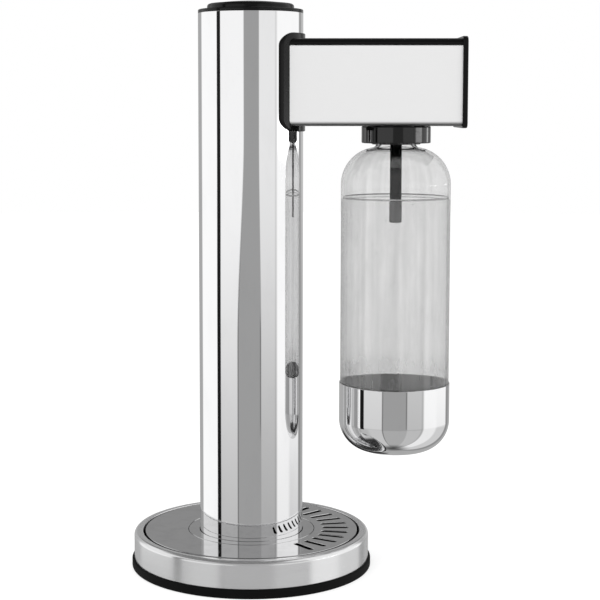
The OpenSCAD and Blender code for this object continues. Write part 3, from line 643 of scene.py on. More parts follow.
@finish
def machined(b, rgb, rough, lines_scale):
    """Machined metal with fine tool lines and a soft tarnish."""
    lines = b.grain(1.0, 3.0, 0.6, (90.0, 90.0, lines_scale))
    tarnish = b.grain(120.0, 5.0, 0.65)
    b.surface({
        "Base Color": b.tint(tarnish, rgb, 0.78, 1.1),
        "Metallic": 1.0,
        "Roughness": rough + tarnish * 0.12 + lines * 0.08,
        "Normal": b.bump(lines, 0.02 * MM, 0.4),
    })


@finish
def cast_iron(b):
    """Raw casting with a coarse sand skin."""
    sand = b.grain(700.0, 5.0, 0.7)
    b.surface({
        "Base Color": b.tint(b.grain(60.0, 4.0), palette().iron, 0.7, 1.3),
        "Metallic": 0.8,
        "Roughness": 0.55 + sand * 0.2,
        "Normal": b.bump(sand, 0.2 * MM, 0.5),
    })


@finish
def hose_wall(b):
    """Milky hose with a braid under its skin."""
    x, y, z = b.split(b.spot())
    turn = b.angle(y, z - (low("gas_hose").z + high("gas_hose").z) / 2)
    one, two = (b.math("SINE", x * 1800.0 + turn * lead) for lead in (6.0, -6.0))
    braid = b.rise(one * two, -0.2, 0.6)
    b.surface({
        "Base Color": b.tint(braid, palette().hose, 1.0, 0.72),
        "Roughness": 0.4 + braid * 0.12,
        "Normal": b.bump(braid, 0.05 * MM, 0.4),
    })


@finish
def clear_plastic(b, ior, rgb, edge_share=0.84, edge_from=0.25, sheen=0.5):
    """Clear bottle plastic with faint waves of blow moulding, bands of painted reflection and painted shade edge on.
    """
    x, y, z = b.split(b.spot())
    turn = b.angle(y, x - BOTTLE_X)
    # Painted reflection: the tint turns lighter and darker in bands round the bottle.
    painted_reflection_lanes = b.noise(b.join(turn * 6.0, z * 3.0, 0.0), 1.0, 4.0)
    wave = b.grain(38.0, 2.0, stretch=(1.0, 1.0, 0.5))
    film = b.rise(b.grain(120.0, 5.0, 0.6), 0.5, 0.85)
    # Painted shade, partly real: seen edge on, the base colour darkens more than the longer path through the tinted
    # wall gives.
    edge = b.rise(b.wire(b.add("LayerWeight", None, {"Blend": 0.5}), "Facing"), edge_from, 0.85)
    wall = b.tint(b.rise(painted_reflection_lanes, 0.35, 0.65), rgb, 0.935, 1.01)
    b.surface({
        "Base Color": b.blend(edge, wall, shade(rgb, edge_share)),
        "Roughness": film * 0.03,
        "IOR": ior,
        "Specular IOR Level": sheen,
        "Transmission Weight": 1.0,
        "Normal": b.bump(wave, 0.08 * MM, 0.25),
    })


@finish
def water_face(b):
    """The water's upper face and the skin of its bubbles, dark grey in a ring of painted shade along the bottle's
    wall.
    """
    x, y, _ = b.split(b.spot())
    x = x - BOTTLE_X
    ripple = b.grain(90.0, 2.0)
    wall = reach("bottle", BOTTLE_X)[1] - sizes().bottle_wall
    # Painted shade: the face turns dark grey in a ring next to the bottle's wall.
    rim = b.rise((x * x + y * y) ** 0.5, wall - 3.2 * MM, wall - 1.2 * MM)
    b.surface({
        "Base Color": b.blend(rim, (0.985, 0.99, 0.99, 1.0), grey(0.1)),
        "Roughness": ripple * 0.01,
        "IOR": 1.2,
        "Transmission Weight": 1.0,
        "Normal": b.bump(ripple, 0.05 * MM, 0.3),
    })


@finish
def water_side(b):
    """Where water lies on the bottle's wall: clear, with a faint haze of the gas in it drawn out upright into bands
    of painted reflection, and a dark line of painted shade on top.
    """
    # Partly the gas, partly painted reflection: the haze is drawn out upright into bands.
    gas_haze_and_painted_reflection = b.rise(b.grain(90.0, 5.0, 0.65, (1.0, 1.0, 0.25)), 0.3, 0.75)
    level, cup = sizes().water_level, high("bottle_cup").z
    z = b.split(b.spot())[2]
    # Painted shade: a dark grey line at the water level.
    line = b.rise(z, level - 0.1 * MM, level + 0.3 * MM)
    above = b.rise(z, cup - 2.0 * MM, cup + 2.0 * MM)
    thick = 1.7 - b.rise(z, cup + 6.0 * MM, cup + 24.0 * MM) * 0.7
    b.surface({
        "Base Color": b.blend(line, grey(0.84), grey(0.05)),
        "Roughness": 0.6,
        "Specular IOR Level": 0.0,
        "Alpha": b.fade(line, (0.12 + gas_haze_and_painted_reflection * 0.13) * above * thick, 0.5),
    })


@finish
def cup_lining(b):
    """Satin inside of the cup, with dark bands of painted reflection at fixed turns round it."""
    x, y, z = b.split(b.spot())
    turn = abs(b.angle(y, x - BOTTLE_X)) * DEGREE
    grain = b.noise(b.join(turn * 0.35, z * 20.0, 0.0), 1.0, 4.0, 0.7)
    # Painted reflection: dark bands at fixed turns round the cup and noisy upright darkening, fading out towards its
    # floor.
    dark = b.band(turn, 81.0, 98.0, 6.0) + b.band(turn, 24.0, 46.0, 4.0) + b.band(turn, 142.0, 148.0, 3.0)
    floor = low("bottle_cup").z
    wall = b.rise(z, floor + 6.0 * MM, floor + 22.0 * MM)
    painted_reflection_streak = b.rise((dark + (1 - grain) * 0.9) * wall, 0.55, 1.0)
    b.surface({
        "Base Color": b.tint(painted_reflection_streak, palette().steel, 1.1, 0.06),
        "Metallic": 0.1,
        "Roughness": 0.45 + grain * 0.1,
    })


@finish
def white_floor(b):
    """White ground for the camera and for soft light; glossy rays and rays through the bottle pass it."""
    path = b.add("LightPath")
    seen = b.wire(path, "Is Camera Ray") * 0.68 + b.wire(path, "Is Diffuse Ray") * 0.35
    paint = b.add("BsdfDiffuse", None, {"Color": b.blend(b.grain(6.0, 2.0), grey(0.44), grey(0.46))})
    glow = b.add("Emission", None, {"Color": grey(1.0), "Strength": seen})
    lit = b.add("AddShader", None, {0: b.wire(paint), 1: b.wire(glow)})
    clear = b.add("BsdfTransparent")
    plain = (1 - b.wire(path, "Is Glossy Ray")) * (1 - b.wire(path, "Is Transmission Ray"))
    mixed = b.add("MixShader", None, {0: plain, 1: b.wire(clear), 2: b.wire(lit)})
    b.add("OutputMaterial", None, {"Surface": b.wire(mixed)})


# The pieces

def foot_ring(s):
    r_in, r_out, _, top = span("foot_ring")
    groove, tread, edge = 0.8 * MM, 2.2 * MM, 1.2 * MM
    soft = s.soft_edge
    corners = [(r_in, 0, soft)]
    r = r_in + tread
    while r + 2 * tread < r_out - tread:
        corners += [(r, 0, soft), (r, groove, soft), (r + tread, groove, soft), (r + tread, 0, soft)]
        r += 2 * tread
    corners += [(r_out, 0, edge), (r_out, top, edge), (r_in, top, soft)]
    lathe("foot_ring_rubber", "stand", "black_rubber", foot_rubber("foot_rubber", palette().rubber), "foot_ring",
          corners, 6)


def base_shell(s):
    r_in, r_out, z0, z1 = span("base_shell")
    t, soft, inner_edge = s.sheet, s.soft_edge, 0.7 * MM
    corners = [
        (r_out, z0, soft), (r_out, z1, s.rim_roll), (r_in, z1, inner_edge), (r_in, z1 - s.rim_flange, soft),
        (r_in + t, z1 - s.rim_flange, soft), (r_in + t, z1 - t, CREASE), (r_out - t, z1 - t, s.rim_roll - t),
        (r_out - t, z0, soft),
    ]
    lathe("base_shell_steel", "stand", "brushed_steel", brushed_shell("brushed_shell"), "base_shell", corners, 14)


def drip_slot(s, r0, r1, turn, grow):
    """Outline of a drip slot in the plate's plane, with its normals."""
    half = s.slot_width / 2
    ends = arc((r1 - half, 0), half + grow, -90, 90, 10) + arc((r0 + half, 0), half + grow, 90, 270, 10)
    c, q = cos(turn), sin(turn)
    return [(x * c - y * q, x * q + y * c, nx * c - ny * q, nx * q + ny * c) for x, y, nx, ny in ends]


def drip_plate(s):
    r_in, r_out, z0, z1 = span("drip_plate")
    f = PLATE_EDGE
    turns = [(i - (s.slot_count - 1) / 2) * s.slot_pitch for i in range(s.slot_count)]

    def slots(grow):
        return [drip_slot(s, r_in + s.slot_inset, r_out - s.slot_margin, t, grow) for t in turns]

    def flat(outlines):
        return [[p[:2] for p in o] for o in outlines]

    skin = Skin()
    skin.panel(circle(r_out - f), [circle(r_in + f), *flat(slots(f))], lambda p: (*p, z1), UP)
    skin.panel(circle(r_out), [circle(r_in), *flat(slots(0))], lambda p: (*p, z0), -UP)
    turned(skin, [(r_out, z0, 1, 0)] + arc((r_out - f, z1 - f), f, 0, 90, 6), closed=False)
    turned(skin, arc((r_in + f, z1 - f), f, 90, 180, 6) + [(r_in, z0, -1, 0)], closed=False)
    levels = []
    for a in quarter(6):
        c, q, z = cos(a), sin(a), z1 - f * (1 - cos(a))
        levels.append([[(Vector((x, y, z)), UP * c - Vector((nx, ny, 0)) * q) for x, y, nx, ny in outline]
                       for outline in slots(f * (1 - q))])
    for loops in zip(*levels):
        foot = [(Vector((p.x, p.y, z0)), n) for p, n in loops[-1]]
        skin.stack([*loops, foot])
    skin.build("drip_plate_steel", "stand", [plate_steel("plate_steel")], ["drip_plate"])


def tower_ring():
    r_in, r_out, z0, z1 = span("tower_ring")
    corners = [(r_in, z0, CREASE), (r_out, z0, CREASE), (r_out, z1, PLATE_EDGE), (r_in, z1, PLATE_EDGE)]
    lathe("tower_ring_steel", "stand", "polished_steel", plate_steel("plate_steel"), "tower_ring", corners, 6)


class WATERMAKER_OT_base(bpy.types.Operator):
    """Foot ring, steel shell, drip plate and the ring around the tower's foot"""
    bl_idname = "watermaker.base"
    bl_label = "Base"

    def execute(self, context):
        s = sizes()
        foot_ring(s)
        base_shell(s)
        drip_plate(s)
        tower_ring()
        return {"FINISHED"}


class WATERMAKER_OT_tower(bpy.types.Operator):
    """Polished tower tube"""
    bl_idname = "watermaker.tower"
    bl_label = "Tower"

    def execute(self, context):
        r_in, r_out, z0, z1 = span("tower_tube")
        soft = sizes().soft_edge
        corners = [(r_in, z0, soft), (r_out, z0, soft), (r_out, z1, soft), (r_in, z1, soft)]
        lathe("tower_tube_steel", "stand", "polished_steel", polished_steel("mirror_steel"), "tower_tube", corners, 6)
        return {"FINISHED"}


def button_bezel(s):
    r_in, r_out, z0, z1 = span("button_bezel")
    tube, _, _, seat = span("tower_tube")
    skirt, soft = tube - FIT, s.soft_edge
    corners = [
        (r_in, z0, soft), (skirt, z0, soft), (skirt, seat, CREASE), (r_out, seat, soft),
        (r_out, z1, 0.8 * MM), (r_in, z1, 0.5 * MM),
    ]
    lathe("button_bezel_black", "stand", "gloss_black", gloss_black("gloss_moulding"), "button_bezel", corners, 8)


def push_button(s):
    hole, _, bezel_bot, _ = span("button_bezel")
    _, lip, foot, top = span("carbonate_button")
    r_out = hole - 0.4 * MM
    edge = top - s.button_crown
    lip_top = bezel_bot - 0.3 * MM
    lip_bot = lip_top - s.button_lip
    inner, under = r_out - s.button_wall, edge - s.button_wall
    crown = r_out - s.button_edge - 1.5 * MM
    radius = (crown ** 2 + s.button_crown ** 2) / (2 * s.button_crown)
    tilt = degrees(asin(crown / radius))
    soft, fillet = 0.4 * MM, 0.2 * MM
    wall = rounded([
        (inner, under, soft), (inner, lip_bot, fillet), (lip, lip_bot, soft), (lip, lip_top, soft),
        (r_out, lip_top, fillet), (r_out, edge, s.button_edge), (crown, edge, CREASE),
    ], closed=False, fine=12)
    dome = arc((0, top - radius), radius, 90 - tilt, 90, 24)
    dome[-1] = (0, top, 0, 1)
    skin = Skin()
    turned(skin, [(0, under, 0, -1)] + wall[:-1] + dome, closed=False)
    post_x, post_r, post_top = 20 * MM, 4 * MM, under - 0.02 * MM
    post = rounded([(0, foot, 0), (post_r, foot, 0.6 * MM), (post_r, post_top, CREASE), (0, post_top, 0)],
                   closed=False, fine=6)
    turned(skin, post, closed=False, axis_x=post_x, steps=48)
    skin.build("carbonate_button_black", "button", [gloss_black("gloss_moulding")],
               ["carbonate_button"])


class WATERMAKER_OT_button(bpy.types.Operator):
    """Bezel and push button on top of the tower"""
    bl_idname = "watermaker.button"
    bl_label = "Button"

    def execute(self, context):
        s = sizes()
        button_bezel(s)
        push_button(s)
        return {"FINISHED"}


def arm_root(y):
    """Where the arm ends on the saddle, for a distance from the middle."""
    r = reach("arm_saddle")[1] + FIT
    return sqrt(r * r - y * y)


def arm_ends(outline, end, side=1):
    """Loops of an outline (y, z, normals) at the saddle and at the arm's end; side -1 mirrors them."""
    near = [(Vector((arm_root(y), side * y, z)), Vector((0, side * ny, nz))) for y, z, ny, nz in outline]
    return near, [(Vector((end, p.y, p.z)), n) for p, n in near]


def arm_saddle(s):
    r_in, r_out, z0, z1 = span("arm_saddle")
    half, f, rings = high("arm_saddle").y, s.saddle_edge, 8

    def outline(inset):
        return round_box(half - inset, z0 + inset, z1 - inset, s.saddle_corner - inset)

    def on_tower(outline, r, tip):
        loop = []
        for y, z, ny, nz in outline:
            x = sqrt(r * r - y * y)
            face, side = Vector((x / r, y / r, 0)), Vector((0, ny, nz))
            loop.append((Vector((x, y, z)), (face * cos(tip) + side * sin(tip)).normalized()))
        return loop

    def between(one, two, k):
        return [mixed(p, q, k / rings) for p, q in zip(one, two)]

    loops = [on_tower(outline(0), r_in, pi / 2)]
    for a in reversed(quarter(8)):
        loops.append(on_tower(outline(f * (1 - sin(a))), r_out - f * (1 - cos(a)), a))
    window = round_box(half - 11.5 * MM, z0 + 12 * MM, z1 - 13 * MM, 1 * MM)
    loops += [on_tower(between(outline(f), window, k), r_out, 0.0) for k in range(1, rings + 1)]
    skin = Skin()
    skin.stack(loops)
    inward = [Vector((0, -ny, -nz)) for _, _, ny, nz in window]
    hole, back = ([(p, n) for (p, _), n in zip(on_tower(window, r, 0), inward)] for r in (r_out, r_in))
    skin.strip(hole, back)
    unders = [on_tower(between(window, outline(0), k), r_in, 0.0) for k in range(rings + 1)]
    skin.stack([[(p, -n) for p, n in loop] for loop in unders])
    skin.build("arm_saddle_black", "stand", [gloss_black("gloss_moulding")], ["arm_saddle"])


def arm_sleeve(s):
    half, end = high("arm_sleeve").y, high("arm_sleeve").x
    z0, z1 = low("arm_sleeve").z, high("arm_sleeve").z
    t, r, soft = s.sheet, s.arm_edge, s.soft_edge
    lip = half - t - s.arm_lip
    path = rounded([
        (half - r, z0, 0), (half, z0, r), (half, z1, s.lip_edge), (lip, z1, soft), (lip, z1 - t, soft),
        (half - t, z1 - t, CREASE), (half - t, z0 + t, r - t), (half - r, z0 + t, 0),
    ], closed=False, fine=12)
    skin = Skin()
    for side in (1, -1):
        near, far = arm_ends(path, end, side)
        skin.strip(near, far, closed=False)
        skin.face(facing(near, -OUT))
        skin.face(facing(far, OUT))
    parts = 24
    ys = [(half - r) * (2 * k / parts - 1) for k in range(parts + 1)]
    outline = [(arm_root(y), y) for y in reversed(ys)] + [(end, y) for y in ys]
    hole = circle(reach("bottle_collar", BOTTLE_X)[0] + 6.95 * MM, 96, BOTTLE_X)
    skin.panel(outline, [hole], lambda p: (*p, z0), -UP)
    skin.panel(outline, [hole], lambda p: (*p, z0 + t), UP)
    for ring, way in ((hole, -1), (outline, 1)):
        for a, b in zip(ring, ring[1:] + ring[:1]):
            if ring is outline and abs(a[1] - b[1]) < 1e-9:
                continue
            n = Vector(((a[0] + b[0]) / 2 - BOTTLE_X, (a[1] + b[1]) / 2, 0)).normalized() * way
            skin.face([((*a, z0), n), ((*b, z0), n), ((*b, z0 + t), n), ((*a, z0 + t), n)])
    skin.build("arm_sleeve_steel", "stand", [satin_sleeve("satin_sleeve")], ["arm_sleeve"])


def arm_cover(s):
    half, end = high("arm_top_cover").y, high("arm_top_cover").x
    rib, top = low("arm_top_cover").z, high("arm_top_cover").z
    z0 = high("arm_sleeve").z
    under = top - s.cover_wall
    rib_out = half - s.sheet - s.arm_lip - 0.3 * MM
    rib_in = rib_out - 1.2 * MM
    soft = s.soft_edge
    right = [
        (rib_in, under, CREASE), (rib_in, rib, soft), (rib_out, rib, soft), (rib_out, z0, CREASE),
        (half, z0, soft), (half, top, s.arm_edge),
    ]
    near, far = arm_ends(rounded(right + [(-y, z, f) for y, z, f in reversed(right)], fine=12), end)
    skin = Skin()
    skin.strip(near, far)
    skin.face(facing(near, -OUT))
    skin.face(facing(far, OUT))
    skin.build("arm_top_cover_black", "stand", [gloss_black("gloss_moulding")], ["arm_top_cover"])


def arm_end_cap(s):
    x0, x1 = high("arm_sleeve").x, high("arm_end_cap").x
    half = high("arm_end_cap").y
    z0, z1 = low("arm_end_cap").z, high("arm_end_cap").z
    front, back = 1.0 * MM, 0.4 * MM

    def at(x, outline, normals):
        return [(Vector((x, y, z)), n) for (y, z, _, _), n in zip(outline, normals)]

    def edge(x, lean, turn, inset):
        outline = round_box(half - inset, z0 + inset, z1 - inset, s.arm_edge - inset, side=6)
        c, q = cos(turn), sin(turn)
        return at(x, outline, [Vector((0, ny, nz)) * c + OUT * lean * q for _, _, ny, nz in outline])

    loops = [edge(x0 + back * (1 - sin(a)), -1, a, back * (1 - cos(a))) for a in reversed(quarter(8))]
    loops += [edge(x1 - front * (1 - sin(a)), 1, a, front * (1 - cos(a))) for a in quarter(8)]
    skin = Skin()
    skin.stack(loops)
    skin.face(facing(loops[-1], OUT))
    spigot, wall = low("arm_end_cap").x, SPIGOT_WALL
    y1 = high("arm_sleeve").y - s.sheet - FIT
    za, zb = low("arm_sleeve").z + s.sheet + FIT, low("arm_top_cover").z - 1.2 * MM
    outer = round_box(y1, za, zb, 3.3 * MM, side=6)
    inner = round_box(y1 - wall, za + wall, zb - wall, 1.3 * MM, side=6)
    sides = [Vector((0, ny, nz)) for _, _, ny, nz in outer]
    bores, backs = [-n for n in sides], [-OUT] * len(outer)
    skin.strip(at(x0, outer, sides), at(spigot, outer, sides))
    skin.strip(at(x0, inner, bores), at(spigot, inner, bores))
    skin.strip(at(spigot, outer, backs), at(spigot, inner, backs))
    skin.strip(facing(loops[0], -OUT), at(x0, outer, backs))
    skin.face(at(x0, inner, backs))
    skin.build("arm_end_cap_black", "stand", [gloss_black("gloss_moulding")], ["arm_end_cap"])


class WATERMAKER_OT_arm(bpy.types.Operator):
    """Saddle, steel sleeve, top cover and end cap of the arm"""
    bl_idname = "watermaker.arm"
    bl_label = "Arm"

    def execute(self, context):
        s = sizes()
        arm_saddle(s)
        arm_sleeve(s)
        arm_cover(s)
        arm_end_cap(s)
        return {"FINISHED"}


def bottle_collar(s):
    r_in, r_out, lip_bot, hub_top = span("bottle_collar", BOTTLE_X)
    bot, top = lip_bot + 1 * MM, low("arm_sleeve").z - 0.4 * MM
    head_r, key_r = s.neck + 2.55 * MM, s.neck + 2.4 * MM
    hub_out, lip = head_r + 4.4 * MM, key_r + 1.4 * MM
    groove = hub_out - 1 * MM
    clip0, clip1 = low("collar_clip").z, high("collar_clip").z + FIT
    ledge = low("carbonation_head").z - 0.4 * MM
    key_top, step = bot + 10.4 * MM, 0.05 * MM
    soft, edge = s.soft_edge, 0.9 * MM
    corners = [
        (r_in, lip_bot, soft), (lip, lip_bot, 0.4 * MM), (lip, bot, soft), (r_out, bot, edge),
        (r_out, top, edge), (hub_out, top, CREASE), (hub_out, clip0, CREASE), (groove, clip0, CREASE),
        (groove, clip1, CREASE), (hub_out, clip1, CREASE), (hub_out, hub_top, soft), (head_r, hub_top, soft),
        (head_r, ledge, CREASE), (r_in, ledge, CREASE), (r_in, key_top + 0.2 * MM, step), (r_in, key_top, step),
    ]
    half_key, third = radians(13), 2 * pi / 3

    def keyway(r, z, a):
        """The bore steps back in three keyways below key_top."""
        off = abs((a + third / 2) % third - third / 2)
        return key_r if r < r_in + 0.5 * MM and z <= key_top + 1e-7 and off <= half_key else r

    lathe("bottle_collar_black", "collar", "gloss_black", gloss_black("collar_moulding", 0.5, 0.04),
          "bottle_collar", corners, 8, axis_x=BOTTLE_X, steps=240, bore=keyway)


def nozzle(s):
    r_in, r_out, z0, z1 = span("nozzle_tube", BOTTLE_X)
    hole, _, tip, _ = span("nozzle_tip", BOTTLE_X)
    soft, seam, fillet = s.soft_edge, 0.15 * MM, 0.2 * MM
    floor = tip + 2.5 * MM
    black = nozzle_black("nozzle_moulding")
    corners = [(r_in, z0, seam), (r_out, z0, seam), (r_out, z1, soft), (r_in, z1, soft)]
    lathe("nozzle_tube_black", "stand", "gloss_black", black, "nozzle_tube", corners, 4, axis_x=BOTTLE_X, steps=96)
    corners = [
        (hole, tip, soft), (r_out, tip, 0.8 * MM), (r_out, z0, seam), (r_in, z0, seam),
        (r_in, floor, fillet), (hole, floor, fillet),
    ]
    lathe("nozzle_tip_black", "stand", "gloss_black", black, "nozzle_tip", corners, 8, axis_x=BOTTLE_X, steps=96)


class WATERMAKER_OT_head(bpy.types.Operator):
    """Bottle collar and carbonation nozzle under the arm"""
    bl_idname = "watermaker.head"
    bl_label = "Collar and nozzle"

    def execute(self, context):
        s = sizes()
        bottle_collar(s)
        nozzle(s)
        return {"FINISHED"}


def bottle_bore(s, gap=0.0):
    """Inner wall from the floor's middle to the shoulder's end, normals inward, and the shoulder's height."""
    r = reach("bottle", BOTTLE_X)[1] - s.bottle_wall - gap
    floor = low("bottle").z + s.bottle_wall + gap
    heel, shoulder = s.heel - s.bottle_wall, s.shoulder - s.bottle_wall
    top = low("bottle_collar").z - 2 * MM
    zs = top - s.shoulder
    rows = [(0, floor, 0, -1)]
    rows += arc((r - heel, floor + heel), heel, -90, 0, 20)
    rows += [(r, high("bottle_cup").z, 1, 0), (r, s.water_level, 1, 0)]
    rows += arc((r - shoulder, zs), shoulder, 0, 90, 28)
    return [(a, z, -nr, -nz) for a, z, nr, nz in rows], zs


def clear_bottle(s):
    _, r, z0, z1 = span("bottle", BOTTLE_X)
    cup, collar = high("bottle_cup").z, low("bottle_collar").z
    inner, zs = bottle_bore(s)
    neck_in, ring_r = s.neck - s.neck_wall, s.neck + s.neck_ring
    outer = [(0, z0, 0, -1)] + arc((r - s.heel, z0 + s.heel), s.heel, -90, 0, 20) + [(r, cup, 1, 0)]
    meet = acos((ring_r - (r - s.shoulder)) / s.shoulder)
    outer += arc((r - s.shoulder, zs), s.shoulder, 0, degrees(meet), 28)
    start_r, start_z = outer[-1][:2]
    foot = start_z + s.neck_ring / tan(meet)
    mouth = 0.5 * MM
    outer += rounded([(start_r, start_z, 0), (s.neck, foot, 3.6 * MM), (s.neck, z1, mouth), (neck_in, z1, mouth),
                      (neck_in, foot, 0)], closed=False, fine=12)[1:-1]
    under = [row for row in inner if row[0] > neck_in + 6 * MM or row[1] < zs]
    edge_r, edge_z, nr, nz = under[-1]
    throat = edge_z + (edge_r - neck_in) * nr / nz
    flare = rounded([(neck_in, z1 - 1 * MM, 0), (neck_in, throat, 5 * MM), (edge_r, edge_z, 0)],
                    closed=False, fine=12)

    def wall(one, two):
        """Dry or wet wall, the same two inside the cup, where the plastic looks clearer, and the neck's foot."""
        top, bottom = max(one[1], two[1]), min(one[1], two[1])
        if bottom > start_z - 1.2 * MM and top < collar + LUG_LIFT:
            return 4
        wet = one in inner and two in inner and top < s.water_level + 1e-6
        return (1 if wet else 0) + (2 if top < cup + 1e-6 else 0)

    skin = Skin()
    turned(skin, outer + flare[1:-1] + under[::-1], closed=False, axis_x=BOTTLE_X, slot_of=wall)
    neck_lugs(skin, s)
    clear = palette().clear
    wet, bare = [c * 1.13 for c in clear], (1.0, 1.0, 1.0)
    plastics = [
        clear_plastic("bottle_plastic", 1.5, clear), clear_plastic("wet_plastic", 1.42, wet, 0.52, 0.1),
        clear_plastic("heel_plastic", 1.5, bare, 1.0), clear_plastic("wet_heel_plastic", 1.42, bare, 1.0),
        clear_plastic("neck_plastic", 1.06, clear, 0.6, 0.5, 0.0),
    ]
    skin.build("bottle_clear", "bottle", plastics, ["bottle"])


def neck_lugs(skin, s):
    """Three lugs on the neck, which the collar's keyways take."""
    r0, r1 = s.neck - 0.4 * MM, s.neck + 2 * MM
    z0 = low("bottle_collar").z + LUG_LIFT
    z1 = z0 + 5 * MM
    sharp, edge, half, parts = 0.05 * MM, 0.4 * MM, radians(10), 12
    section = rounded([(r0, z0, sharp), (r1, z0, edge), (r1, z1, edge), (r0, z1, sharp)], fine=5)
    for i in range(3):
        turns = [2 * pi * i / 3 + half * (2 * k / parts - 1) for k in range(parts + 1)]
        loops = []
        for c, q in ((cos(a), sin(a)) for a in turns):
            loops.append([(Vector((BOTTLE_X + r * c, r * q, z)), Vector((nr * c, nr * q, nz)))
                          for r, z, nr, nz in section])
        skin.stack(loops)
        for k, way in ((0, -1), (-1, 1)):
            skin.face(facing(loops[k], Vector((-sin(turns[k]), cos(turns[k]), 0)) * way))


def bottle_cup(s):
    _, r, z0, z1 = span("bottle_cup", BOTTLE_X)
    t, rim = s.cup_sheet, 0.28 * MM
    heel = s.heel + r - reach("bottle", BOTTLE_X)[1]
    rows = [(0, z0, 0, -1)] + arc((r - heel, z0 + heel), heel, -90, 0, 32)
    rows += arc((r - rim, z1 - rim), rim, 0, 90, 6) + arc((r - t + rim, z1 - rim), rim, 90, 180, 6)
    lining = rows[-1:]
    lining += [(a, z, -nr, -nz) for a, z, nr, nz in arc((r - heel, z0 + heel), heel - t, 0, -90, 32)]
    lining += [(0, z0 + t, 0, 1)]
    skin = Skin()
    turned(skin, rows, closed=False, axis_x=BOTTLE_X)
    turned(skin, lining, closed=False, axis_x=BOTTLE_X, slot_of=lambda one, two: 1)
    steels = [polished_steel("mirror_steel"), cup_lining("cup_lining")]
    skin.build("bottle_cup_steel", "bottle", steels, ["bottle_cup"])


def water(s):
    wall, _ = bottle_bore(s, gap=0.08 * MM)
    level, parts = s.water_level, 16
    side = [(a, z, -nr, -nz) for a, z, nr, nz in wall if z <= level]
    r = side[-1][0]
    top = []
    for t in (k / parts for k in range(parts + 1)):
        n = Vector((-2 * s.meniscus * (1 - t) / MENISCUS_WIDTH, 1)).normalized()
        top.append((r - MENISCUS_WIDTH * t, level + s.meniscus * (1 - t) ** 2, n.x, n.y))
    top.append((0, level, 0, 1))
    side.append((r, level + s.meniscus, 1, 0))
    skin = Skin()
    turned(skin, side, closed=False, axis_x=BOTTLE_X, slot_of=lambda one, two: 1)
    turned(skin, top, closed=False, axis_x=BOTTLE_X)
    gas_bubbles(skin, s, r, low("bottle").z)
    skin.build("bottle_water", "bottle", [water_face("water_face"), water_side("water_side")])


def gas_bubbles(skin, s, r, floor):
    """Small gas bubbles: round hollows in the water, more of them near its face."""
    draw = random.Random(7)
    for _ in range(s.bubbles):
        size = (0.25 + 0.75 * draw.random() ** 2.5) * MM
        depth = (draw.random() ** 2.2) * (s.water_level - floor - 50 * MM) + 4 * MM
        turn = draw.random() * 2 * pi
        away = 7 * MM + (r - 10 * MM) * draw.random() ** 0.8
        centre = Vector((BOTTLE_X + away * cos(turn), away * sin(turn), s.water_level - depth))
        rings = []
        for _, _, across, up in arc((0, 0), size, -90, 90, 8):
            ways = [Vector((u, v, up)) for u, v in circle(across, 12)]
            rings.append([(centre + way * size, -way) for way in ways])
        skin.stack(rings)


class WATERMAKER_OT_bottle(bpy.types.Operator):
    """Clear bottle, its steel cup and the water in it"""
    bl_idname = "watermaker.bottle"
    bl_label = "Bottle"

    def execute(self, context):
        s = sizes()
        clear_bottle(s)
        bottle_cup(s)
        water(s)
        return {"FINISHED"}


def coil_spring(node, joint, axis, wire, turns):
    """A coil along one axis of the frame, from one end of the node to the other."""
    near, far = low(node)[axis], high(node)[axis]
    middle = (low(node) + high(node)) / 2
    one, two = (axis + 1) % 3, (axis + 2) % 3
    radius = (high(node)[one] - low(node)[one] - wire) / 2
    way = Vector([1.0 if i == axis else 0.0 for i in range(3)])
    steps, sides = 40 * turns, 12
    rings = []
    for k in range(steps + 1):
        a = 2 * pi * turns * k / steps
        out = Vector((0, 0, 0))
        out[one], out[two] = cos(a), sin(a)
        centre = middle + out * radius
        centre[axis] = near + wire / 2 + (far - near - wire) * k / steps
        normals = [out * u + way * v for u, v in circle(1, sides)]
        rings.append([(centre + n * wire / 2, n) for n in normals])
    skin = Skin()
    skin.stack(rings)
    for ring, beside in ((rings[0], rings[1]), (rings[-1], rings[-2])):
        skin.face(facing(ring, (ring[0][0] - beside[0][0]).normalized()))
    zinc = machined("zinc_plate", palette().zinc, 0.28, 1400.0)
    piece = skin.build(node + "_wire", "stand", [zinc], [node])
    travel = next(j for j in frame["joints"] if j["name"] == joint)["range_m"][1]
    1 - travel / (far - near)
    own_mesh(piece)


class WATERMAKER_OT_springs(bpy.types.Operator):
    """Wire springs under the button and in the relief valve"""
    bl_idname = "watermaker.springs"
    bl_label = "Springs"

    def execute(self, context):
        s = sizes()
        coil_spring("button_spring", "button_press", 2, s.button_wire, s.button_turns)
        coil_spring("relief_spring", "relief_lift", 0, s.relief_wire, s.relief_turns)
        return {"FINISHED"}


